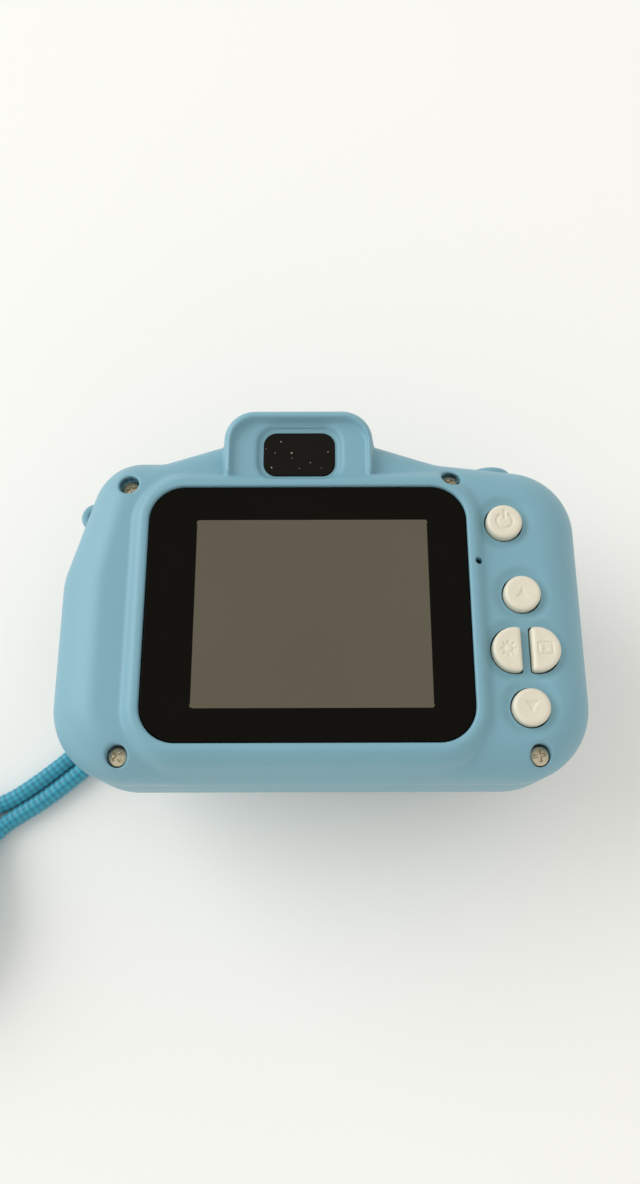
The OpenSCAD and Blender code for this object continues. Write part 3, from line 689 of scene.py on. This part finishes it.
def inward(p, h=0.02):
    gx = sdf_all(p + [h, 0]) - sdf_all(p - [h, 0])
    gy = sdf_all(p + [0, h]) - sdf_all(p - [0, h])
    g = np.stack([gx, gy], 1)
    return -g / np.maximum(np.linalg.norm(g, axis=1), 1e-9)[:, None]


outline = find_outline(0.5)
outline_in = inward(outline)
outline_rings = [outline + outline_in * d for d in (0.02, 0.1, 0.25, 0.5, 0.85, 1.3, 1.9, 2.6, 3.4)]


def quarter(d, w):
    """Quarter-round rise over the width w."""
    t = np.clip(d / w, 0, 1)
    return np.sqrt(np.maximum(1 - (1 - t) ** 2, 0))


def pair_shape_ring(side, grow, flat, pitch):
    """Outline of one half-round button."""
    cx, cy = PAIR[0] + side * 1.85, PAIR[1]
    r = 3.75 + grow
    x_flat = PAIR[0] + side * (0.85 - flat)
    a = math.acos(abs(cx - x_flat) / r)
    soft = []
    for t in np.linspace(-(math.pi - a), math.pi - a, 60):
        soft.append((cx + side * r * math.cos(t), cy + side * r * math.sin(t)))
    ring = np.array(soft)
    ring = resample(ring, 0.05)
    for _ in range(60):
        ring = 0.5 * ring + 0.25 * (np.roll(ring, 1, 0) + np.roll(ring, -1, 0))
    return resample(ring, pitch)


def pair_distance(p):
    q = np.abs(p - PAIR) - [1.85, 0]
    return np.hypot(np.maximum(q[:, 0], 0), p[:, 1] - PAIR[1]) - 3.75


# ---------------------------------------------------------------- rear cover
def rear_height(p):
    sd_case = -convex_sdf(p, case_poly)
    grip = step(-34, -44, p[:, 0])
    low = step(-22, -31, p[:, 1])
    w = 8 + 4.5 * grip * (1 - 0.4 * low)
    z = 34 + np.where(sd_case > 0, 8 * quarter(sd_case, w), 6 * sd_case)
    sh = -convex_sdf(p, shoulder_poly)
    z = smax(z, 36.5 + np.where(sh > 0, 4.5 * quarter(sh, 4.5), 6 * sh), 0.8)
    # raised rim round the display window
    window = rect_sdf(p, *WINDOW)
    t = np.clip((window - 1.2) / 2.2, 0, 1)
    surround = RIM_TOP - 1.9 * t ** 1.4 - 3 * np.clip(window - 3.4, 0, 9)
    z = smax(z, surround, 0.45)
    # viewfinder hump with its rim and panel
    dh = -convex_sdf(p, hump_poly)
    rise = np.where(dh > 0, 2.4 * quarter(dh, 2.2), 7 * dh)
    panel = rect_sdf(p, *PANEL_LONG)
    inner = 42.35 + 1.75 * step(0, 1.35, panel)
    hump = smin(41.5 + rise, inner, 0.5)
    fade = step(17.6, 20.6, p[:, 1])
    hump = hump - 2.6 * (1 - fade)
    z = smax(z, hump, 0.7)
    # recess round the finder window
    f = rect_sdf(p, *FINDER)
    inside = dh > 2
    dip = 0.85 * (1 - step(0.5, 1.35, f)) + 0.12 * (1 - step(1.3, 1.75, f))
    z = np.where(inside, z - dip, z)
    # dished places round the buttons
    for x, y in ROUND_BUTTONS.values():
        r = np.hypot(p[:, 0] - x, p[:, 1] - y)
        z = z - DISH * (1 - step(3.5, 5.3, r))
    d = pair_distance(p)
    z = z - DISH * (1 - step(0.35, 2.0, d))
    # soft lips of the holes
    for x, y in SCREWS:
        r = np.hypot(p[:, 0] - x, p[:, 1] - y) - 1.85
        z = z - 0.28 * (1 - quarter(r, 0.4)) * (r < 0.4)
    r = np.hypot(p[:, 0] - MIC[0], p[:, 1] - MIC[1]) - 0.6
    z = z - 0.2 * (1 - quarter(r, 0.3)) * (r < 0.3)
    lip = window - 0.1
    z = z - 0.3 * (1 - quarter(lip, 0.45)) * (lip < 0.45)
    return z


def shell(name, height, holes, guides, side, foot, wall=1.7, pitch=0.75, dense=()):
    """Moulded cover: outer height surface, inner surface, walls of the holes and the skirt down to the split."""
    rings = outline_rings + list(guides)
    fill = hex_grid(-HALF_WIDTH, HALF_WIDTH, -HALF_HEIGHT, HALF_HEIGHT, pitch)
    near = np.zeros(len(fill), bool)
    for x0, x1, y0, y1 in dense:
        near |= (fill[:, 0] > x0) & (fill[:, 0] < x1) & (fill[:, 1] > y0) & (fill[:, 1] < y1)
    more = [hex_grid(x0, x1, y0, y1, 0.36) for x0, x1, y0, y1 in dense]
    fill = thin(np.concatenate([fill[~near], *more]), 0.22)
    ok = sdf_all(fill) < -0.12
    fill = fill[ok]
    flat = []
    for g in rings:
        keep = sdf_all(g) < -0.01
        for h in holes:
            keep &= ~in_poly(g, h)
        flat.append(g[keep])
    pts, tri, loops = triangulate(outline, holes, flat, fill, 0.24)
    z = height(pts)
    n = len(pts)
    inset = wall * (1 - np.clip(-sdf_all(pts) / 6, 0, 1))
    inner_xy = pts + inward(pts) * inset[:, None]
    top = np.column_stack([pts, z])
    under = np.column_stack([inner_xy, z - side * wall])
    hole_ids = sorted({i for l in loops[1:] for i in l})
    under[hole_ids, :2] = pts[hole_ids]
    verts = [top, under]
    faces = [tuple(t) for t in tri] + [tuple(t[::-1] + n) for t in tri]
    rim = loops[0]
    count = 2 * n
    outer_loops = [rim]
    xy = pts[rim]
    step_in = inward(xy)
    for zz, cut in ((foot + side * 0.35, 0.0), (foot + side * 0.12, 0.05), (foot, 0.22)):
        verts.append(np.column_stack([xy + step_in * cut, np.full(len(rim), zz)]))
        outer_loops.append(list(range(count, count + len(rim))))
        count += len(rim)
    verts.append(np.column_stack([xy + step_in * wall, np.full(len(rim), foot)]))
    outer_loops.append(list(range(count, count + len(rim))))
    outer_loops.append([i + n for i in rim])
    for a, b in zip(outer_loops, outer_loops[1:]):
        faces += band(a, b)
    for l in loops[1:]:
        faces += band(l, [i + n for i in l])
    ob = add_mesh(name, np.concatenate(verts), faces, [mats["case_blue"]])
    fix_normals(ob)
    return ob


def carve(ob, cutter):
    """Cuts one closed mesh out of another and removes the cutter."""
    mod = ob.modifiers.new("cut", "BOOLEAN")
    mod.operation = "DIFFERENCE"
    mod.solver = "EXACT"
    mod.object = cutter
    dg = bpy.context.evaluated_depsgraph_get()
    me = bpy.data.meshes.new_from_object(ob.evaluated_get(dg))
    ob.modifiers.clear()
    ob.data = me
    bpy.data.objects.remove(cutter)


def join(ob, others):
    bpy.ops.object.select_all(action="DESELECT")
    for o in [ob, *others]:
        o.select_set(True)
    bpy.context.view_layer.objects.active = ob
    bpy.ops.object.join()
    return ob


def rounded_box(name, lo, hi, r, mat, segments=3):
    """Block with rounded edges."""
    bm = bmesh.new()
    bmesh.ops.create_cube(bm, size=1)
    lo, hi = np.array(lo, float), np.array(hi, float)
    for v in bm.verts:
        v.co = Vector(((np.array(v.co) + 0.5) * (hi - lo) + lo) * MM)
    if r:
        bmesh.ops.bevel(bm, geom=bm.edges[:], offset=r * MM, segments=segments, affect="EDGES", profile=0.5)
    me = bpy.data.meshes.new(name)
    bm.to_mesh(me)
    bm.free()
    me.materials.append(mat)
    me.polygons.foreach_set("use_smooth", [True] * len(me.polygons))
    ob = bpy.data.objects.new(name, me)
    scene.collection.objects.link(ob)
    sharpen(ob, 40)
    return ob


window_hole = rect_ring(*WINDOW, 0.1, 0.45)
finder_hole = rect_ring(*FINDER, 0.0, 0.3)
button_holes = [circle_ring(x, y, BUTTON_R + GAP, 0.3) for x, y in ROUND_BUTTONS.values()]
pair_holes = [pair_shape_ring(s, GAP, GAP, 0.3) for s in (-1, 1)]
screw_holes = [circle_ring(x, y, WELL_R, 0.28) for x, y in SCREWS]
rear_holes = [window_hole, finder_hole, *button_holes, *pair_holes, *screw_holes, circle_ring(*MIC, 0.6, 0.16)]
rear_guides = [rect_ring(*WINDOW, g, 0.45) for g in (0.2, 0.34, 0.55, 0.9, 1.3, 1.7, 2.1, 2.5, 2.9, 3.3, 3.7)]
rear_guides += [rect_ring(*FINDER, g, 0.3) for g in (0.25, 0.5, 0.75, 1.0, 1.2, 1.35, 1.5, 1.7, 1.9)]
rear_guides += [circle_ring(x, y, r, 0.35) for x, y in ROUND_BUTTONS.values()
                for r in (3.42, 3.6, 3.9, 4.3, 4.7, 5.1, 5.4)]
rear_guides += [circle_ring(x, y, r, 0.28) for x, y in SCREWS for r in (1.88, 1.98, 2.12, 2.3)]
rear_guides += [circle_ring(*MIC, r, 0.16) for r in (0.66, 0.76, 0.92)]
hump_line = resample(hump_poly, 0.4)
hump_in = inward_ring(hump_line)
for grow in (-0.9, -0.55, -0.3, -0.12, 0.0, 0.08, 0.2, 0.4, 0.7, 1.05, 1.4, 1.8, 2.2):
    ring = hump_line + hump_in * grow
    rear_guides.append(ring[ring[:, 1] > 17.5])
for grow in (0.0, 0.2, 0.4, 0.6, 0.8, 1.0, 1.2, 1.4):
    ring = rect_ring(*PANEL_LONG, grow, 0.4)
    rear_guides.append(ring[ring[:, 1] > 18])
rear = shell("rear_cover_shell", rear_height, rear_holes, rear_guides, 1, SPLIT_Z,
             dense=[(-19, 11.5, 16.5, 32.3), (24, 40, -27, 17), (-31, 27, 16, 21)])
cups = []
for x, y in SCREWS:
    ring = circle_ring(x, y, 2.2, 0.3)
    top_z = float(rear_height(ring).min()) - 0.55
    cups.append(lathe("well", [(WELL_R, WELL_FLOOR), (WELL_R, top_z), (2.3, top_z), (2.3, 36.4), (0.0, 36.4),
                               (0.0, WELL_FLOOR)],
                      (x, y, 0), "z", mats["case_blue"], 40))
join(rear, cups)


def shutter_cutter():
    """Rod that cuts the bore of the shutter button."""
    return lathe("cutter", [(0, 17), (4.5, 17), (4.5, 30), (0, 30)], SHUTTER_AT, "y", mats["case_blue"], 72,
                 closed=False)


carve(rear, shutter_cutter())
rear.name = "rear_cover_shell"
sharpen(rear, 50)
settle(rear, "case", "case_blue", "rear_cover")


# ---------------------------------------------------------------- front cover
def front_height(p):
    sd_case = -convex_sdf(p, case_poly)
    z = 21.6 - np.where(sd_case > 0, 7 * quarter(sd_case, 7), 6 * sd_case)
    sh = -convex_sdf(p, shoulder_poly)
    z = smin(z, 22.6 - np.where(sh > 0, 4 * quarter(sh, 4), 6 * sh), 0.8)
    dh = -convex_sdf(p, hump_poly)
    z = smin(z, 23.6 - np.where(dh > 0, 5 * quarter(dh, 5), 7 * dh), 0.9)
    f = rect_sdf(p, FINDER[0], FINDER[1], FINDER[2] + 1, FINDER[3] + 1, 2.9)
    z = z + (np.maximum(z, 19.3) - z) * (1 - step(-0.1, 0.2, f))
    r = np.hypot(p[:, 0] - LENS[0], p[:, 1] - LENS[1])
    z = z + 0.35 * np.exp(-((r - 20.6) / 0.5) ** 2)
    return z


speaker_holes = [
    circle_ring(SPEAKER[0] + SPEAKER_RING * math.cos(a), SPEAKER[1] + SPEAKER_RING * math.sin(a), SPEAKER_HOLE_R, 0.2)
    for a in np.arange(6) * TAU / 6]
speaker_holes.append(circle_ring(*SPEAKER, SPEAKER_HOLE_R, 0.2))
front_holes = [circle_ring(*LENS[:2], 16.5, 0.5), rect_ring(FINDER[0], FINDER[1], 11.6, 7.4, 2.2, 0, 0.3),
               *speaker_holes]
front_guides = [circle_ring(*LENS[:2], r, 0.5) for r in (17.5, 19, 19.7, 20.1, 20.4, 20.6, 20.8, 21.1, 21.6)]
front_guides += [rect_ring(FINDER[0], FINDER[1], 13.6, 9.4, 2.9, g, 0.3) for g in (-0.2, -0.05, 0.1, 0.25, 0.5)]
front = shell("front_cover_shell", front_height, front_holes, front_guides, -1, SPLIT_Z,
              dense=[(-19, 11.5, 16.5, 32.3)])
carve(front, shutter_cutter())
carve(front, rounded_box("cutter", (43.75, -13.2, 23.7), (46.5, 10.8, 30.5), 0.25, mats["case_blue"]))
carve(front, rounded_box("cutter", (39, -10.8, 25.1), (46.5, 9.0, 29.1), 0.6, mats["case_blue"]))
lug_profile = [(1.1, 24.5), (1.3, 24.1), (1.6, 24.0), (2.2, 24.0), (2.55, 24.12), (2.7, 24.5), (2.7, 27.1),
               (2.55, 27.48), (2.2, 27.6), (1.6, 27.6), (1.3, 27.5), (1.1, 27.1)]
lug = lathe("lug", lug_profile, (-42.3, 18.2, 0), "z", mats["case_blue"], 48)
neck = rounded_box("neck", (-41.0, 16.2, 24.2), (-39.2, 20.2, 27.4), 0.35, mats["case_blue"])
join(front, [lug, neck])
front.name = "front_cover_shell"
sharpen(front, 50)
settle(front, "case", "case_blue", "front_cover")

# ---------------------------------------------------------------- display window
win_outer = rect_ring(*WINDOW, 0.0, 0.45)
window_guides = [rect_ring(*WINDOW, g, 0.45) for g in (-0.05, -0.12, -0.22, -0.4)]
window_guides += [rect_ring(*LCD, g, 0.4) for g in (-0.12, 0.0, 0.12)]


def window_top(p):
    d = -rect_sdf(p, *WINDOW)
    return WINDOW_TOP - 0.18 * (1 - quarter(d, 0.22))


def window_paint(c):
    """Material index of each face: 1 on the lit area of the display."""
    lit = (rect_sdf(c[:, :2], *LCD) < 0) & (c[:, 2] > 42.8)
    return lit.astype(np.int32)


window = relief("screen_window_panel", win_outer, window_top, WINDOW_BACK,
                [mats["window_black"], mats["display_grey"]], 1.1, window_guides, 0.1, paint=window_paint)
settle(window, "case", "window_black", "screen_window")

# ---------------------------------------------------------------- viewfinder windows
pane_outer = rect_ring(*FINDER_PANE, 0, 0.3)


def finder_top(p):
    d = -rect_sdf(p, *FINDER_PANE)
    return PANE_TOP - 0.05 * (1 - quarter(d, 0.25))


finder = relief("finder_window_pane", pane_outer, finder_top, PANE_BACK, [FINDER_GLASS], 0.8,
                [rect_ring(*FINDER_PANE, g, 0.3) for g in (-0.1, -0.25)], 0.15)
settle(finder, "case", "window_black", "finder_window")
specks = [(-6.9, 26.6, 0.13), (-5.0, 24.4, 0.16), (-8.5, 21.6, 0.15), (-9.5, 25.2, 0.08), (-7.9, 24.4, 0.08),
          (1.4, 24.6, 0.10), (-1.7, 22.5, 0.09), (-3.6, 21.4, 0.07), (-4.9, 23.4, 0.07), (0.2, 21.5, 0.06)]
dust_parts = []
dust_mat = material("dust", srgb(150, 140, 126), 0.8, vary=0.2, patch=2000, bump=0.4)
for x, y, r in specks:
    ring = circle_ring(x, y, r, r * 0.7)
    ring = (ring - [x, y]) * rng.uniform(0.75, 1.25, (len(ring), 1)) + [x, y]

    def speck_top(p, x=x, y=y, r=r):
        return 41.66 - 0.03 * np.hypot(p[:, 0] - x, p[:, 1] - y) / r
    dust_parts.append(relief("speck", ring, speck_top, 41.58, [dust_mat], r, (), r * 0.3))
dust = join(dust_parts[0], dust_parts[1:])
dust.name = "finder_dust"
settle(dust, "case", "window_black")


# ---------------------------------------------------------------- buttons
def segment(p, a, b):
    a, b = np.array(a), np.array(b)
    d = b - a
    t = np.clip(((p - a) @ d) / (d @ d), 0, 1)
    return np.hypot(*(p - a - t[:, None] * d).T)


def triangle_sdf(p, size, down):
    s = -1 if down else 1
    q = p * [1, s]
    corners = [(-size, -0.7 * size), (size, -0.7 * size), (0, 0.95 * size)]
    return convex_sdf(q, np.array(corners))


def icon_power(p):
    r = np.hypot(*p.T)
    ang = np.abs(np.arctan2(p[:, 0], p[:, 1]))
    ring = np.abs(r - 1.35)
    ring = np.where(ang < 0.42, 9, ring)
    bar = segment(p, (0, 0.5), (0, 1.85))
    return -0.16 * (1 - step(0.16, 0.34, np.minimum(ring, bar)))


def icon_up(p):
    d = triangle_sdf(p + [0.05, 0.1], 1.25, False)
    return -0.2 * (1 - step(-0.45, 0.12, d))


def icon_down(p):
    d = triangle_sdf(p + [0, -0.1], 1.25, True)
    return -0.2 * (1 - step(-0.45, 0.12, d))


def icon_gear(p):
    r = np.hypot(*p.T)
    a = np.arctan2(p[:, 1], p[:, 0])
    edge = 1.15 + 0.22 * np.tanh(3 * np.cos(8 * a))
    return -0.15 * (1 - step(-0.12, 0.12, r - edge)) * step(0.42, 0.62, r)


def icon_play(p):
    box = np.abs(rect_sdf(p, 0, 0, 2.3, 1.9, 0.2))
    tri = convex_sdf(p, np.array([(-0.35, -0.5), (0.55, 0.0), (-0.35, 0.5)]))
    return -0.13 * np.maximum(1 - step(0.08, 0.24, box), 1 - step(-0.1, 0.12, tri))


def cap(name, outer, icon, icon_at, sdf, body, node):
    """Button cap with a rounded edge, a slightly hollow top and its symbol."""
    def top(p):
        d = np.maximum(-sdf(p), 0)
        q = p - icon_at
        return BUTTON_TOP - 0.6 * (1 - quarter(d, 0.7)) - 0.06 * step(0.6, 2.2, d) + icon(q)
    n = inward_ring(outer)
    guides = [outer + n * d for d in (0.02, 0.08, 0.2, 0.36, 0.6)]
    ob = relief(name, outer, top, CAP_BOTTOM, [mats["button_white"]], 0.11, guides, 0.06)
    settle(ob, body, "button_white", node)
    return ob


icons = {"power": icon_power, "up": icon_up, "down": icon_down}
for key, (x, y) in ROUND_BUTTONS.items():
    cap(f"{key}_cap", circle_ring(x, y, BUTTON_R, 0.2), icons[key], np.array([x, y]),
        lambda p, x=x, y=y: np.hypot(p[:, 0] - x, p[:, 1] - y) - BUTTON_R, f"{key}_button", f"{key}_button")
for key, s, icon, shift in (("menu", -1, icon_gear, -3.0), ("playback", 1, icon_play, 3.0)):
    ring = pair_shape_ring(s, 0.0, 0.0, 0.2)
    if np.sum(np.cross(ring, np.roll(ring, -1, 0))) < 0:
        ring = ring[::-1]
    poly = convex_hull(ring)
    cap(f"{key}_cap", ring, icon, np.array([PAIR[0] + shift, PAIR[1]]),
        lambda p, poly=poly: convex_sdf(p, poly), f"{key}_button", f"{key}_button")

shutter = lathe("shutter_cap", [(0, 18.9), (5.1, 18.9), (5.1, 19.9), (4.2, 19.9), (4.2, 25.3), (4.12, 25.75),
                                (3.9, 26.05), (3.6, 26.22), (3.2, 26.3), (2.6, 26.24), (1.4, 26.12), (0, 26.08)],
                SHUTTER_AT, "y", mats["case_blue"], 96, closed=False)
settle(shutter, "shutter_button", "case_blue", "shutter_button")

# ---------------------------------------------------------------- screws
screw_parts = []
for k, (x, y) in enumerate(SCREWS):
    turn = (0.35, 1.0, 0.6, 0.15)[k]

    def head(p, x=x, y=y, turn=turn):
        q = p - [x, y]
        c, s = math.cos(turn), math.sin(turn)
        u, v = q[:, 0] * c + q[:, 1] * s, -q[:, 0] * s + q[:, 1] * c
        r = np.hypot(*q.T)
        u, v = np.abs(u), np.abs(v)
        arm = np.minimum(np.maximum(u - 0.95, v - 0.2), np.maximum(v - 0.95, u - 0.2))
        return (HEAD_TOP - 0.35 * (r / HEAD_R) ** 2 - 0.16 * (1 - quarter(HEAD_R - r, 0.2))
                - 0.5 * (1 - step(-0.05, 0.1, arm)))
    screw_parts.append(relief("head", circle_ring(x, y, HEAD_R, 0.12), head, 37.4, [mats["screw_steel"]], 0.06,
                              [circle_ring(x, y, r, 0.12) for r in (1.58, 1.51, 1.4)], 0.035))
    screw_parts.append(lathe("shaft", [(0, 20.6), (0.6, 20.6), (0.95, 21.2)] + [
        (0.95 if i % 2 else 0.78, 21.5 + 0.3 * i) for i in range(40)] + [(0.95, 37.4), (0, 37.4)],
        (x, y, 0), "z", mats["screw_steel"], 20, closed=False))
screws = join(screw_parts[0], screw_parts[1:])
screws.name = "case_screw_heads"
settle(screws, "case", "screw_steel", "case_screws")

# ---------------------------------------------------------------- lens side
ribs = []
for i in range(9):
    z = 8.6 + 0.55 * i
    ribs += [(19.5, z), (19.5, z + 0.2), (19.28, z + 0.3), (19.28, z + 0.45)]
barrel = lathe("lens_barrel_shell", [
    (15.4, 0.9), (15.45, 0.5), (15.6, 0.2), (15.9, 0.04), (16.3, 0), (18.6, 0), (19.05, 0.08), (19.35, 0.35),
    (19.5, 0.8), (19.5, 4.8), (19.4, 5.1), (19.05, 5.4), (19.0, 6), (19.05, 6.6), (19.4, 6.9), (19.5, 7.2), *ribs,
    (19.5, 13.8), (19.5, 14.6), (16.4, 14.6), (16.4, 16.2), (7.4, 16.2), (7.4, 8.4), (15.4, 8.4)],
    LENS, "z", mats["case_blue"], 180)
settle(barrel, "case", "case_blue", "lens_barrel")
trim = lathe("lens_trim", [(15.38, 2.5), (15.25, 2.28), (15, 2.2), (13.8, 2.2), (13.5, 2.32), (12.6, 2.95),
                           (12.5, 3.1), (12.1, 3.2), (11.1, 3.9), (10.6, 4.25), (10.42, 4.5), (10.4, 8.4),
                           (15.38, 8.4)],
             LENS, "z", mats["trim_silver"], 160)
settle(trim, "case", "trim_silver", "lens_trim_ring")
steps = []
for i in range(6):
    r = 10.2 - 0.5 * i
    z = 4.7 + 0.19 * i
    steps += [(r, z), (r - 0.34, z + 0.04), (r - 0.42, z + 0.19)]
cone = lathe("lens_inner_cone", [(10.38, 4.75), *steps, (6.7, 6.05), (6.02, 6.2), (6.02, 8.4), (10.38, 8.4)],
             LENS, "z", mats["lens_black"], 144)
settle(cone, "case", "lens_black", "lens_hood_cone")
glass = lathe("lens_front_glass", [(0, 6.6), (5.7, 6.6), (5.9, 6.68), (6.0, 6.9), (6.0, 7.4), (5.9, 7.6),
                                   (0, 7.6)], LENS, "z", mats["clear_glass"], 96, closed=False)
settle(glass, "case", "clear_glass", "lens_cover")

# ---------------------------------------------------------------- port cover
flap = rounded_box("port_flap", (43.85, -12.6, 23.9), (45, 10.6, 30.3), 0.3, mats["port_rubber"])
knuckle = lathe("knuckle", [(0, 23.9), (0.45, 23.9), (0.55, 24.0), (0.55, 30.2), (0.45, 30.3), (0, 30.3)],
                (44.42, -12.4, 0), "z", mats["port_rubber"], 32, closed=False)
plug = rounded_box("plug", (42.85, -10.3, 25.35), (43.95, 8.3, 28.85), 0.25, mats["port_rubber"])
tab = rounded_box("tab", (44.5, 8.2, 25.7), (45.3, 10.1, 28.5), 0.22, mats["port_rubber"])
join(flap, [plug, tab, knuckle])
flap.name = "port_flap"
settle(flap, "port_cover", "port_rubber", "port_cover")

# ---------------------------------------------------------------- CAD nodes that keep their shape
SLOT_OF = {s["node"]: s["material_slot"] for s in frame["record"]["subparts"]}
for node_name, ob in frame["nodes"].items():
    if ob.hide_render:
        continue
    ob.data.materials.clear()
    ob.data.materials.append(mats[SLOT_OF[node_name]])
    ob["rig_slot"] = SLOT_OF[node_name]

# ---------------------------------------------------------------- floor and light
floor_mat = material("table", srgb(250, 249, 245), 0.75, vary=0.006, patch=9, grain=700, bump=0.02)
FLOOR_HALF = 2.0 / MM
floor = add_mesh("table", [(-FLOOR_HALF, -FLOOR_HALF, 0), (FLOOR_HALF, -FLOOR_HALF, 0), (FLOOR_HALF, FLOOR_HALF, 0),
                           (-FLOOR_HALF, FLOOR_HALF, 0)], [(0, 1, 2, 3)], [floor_mat], smooth=False)


def area_light(name, at, target, size, power, col):
    d = bpy.data.lights.new(name, "AREA")
    d.shape = "DISK"
    d.size = size
    d.energy = power
    d.color = col
    ob = bpy.data.objects.new(name, d)
    ob.location = at
    ob.rotation_euler = (Vector(target) - Vector(at)).to_track_quat("-Z", "Y").to_euler()
    scene.collection.objects.link(ob)


KEY_AT, KEY_SIZE, KEY_POWER, KEY_COLOUR = (-2.2, 0.9, 1.45), 2.6, 46, (0.92, 0.97, 1.0)
ROOM_COLOUR, ROOM_STRENGTH = (1.0, 0.98, 0.95, 1), 0.76
area_light("key", KEY_AT, (0, 0, 0), KEY_SIZE, KEY_POWER, KEY_COLOUR)
world = bpy.data.worlds.new("room")
world.use_nodes = True
world.node_tree.nodes["Background"].inputs["Color"].default_value = ROOM_COLOUR
world.node_tree.nodes["Background"].inputs["Strength"].default_value = ROOM_STRENGTH
scene.world = world
scene.view_settings.view_transform = "Standard"
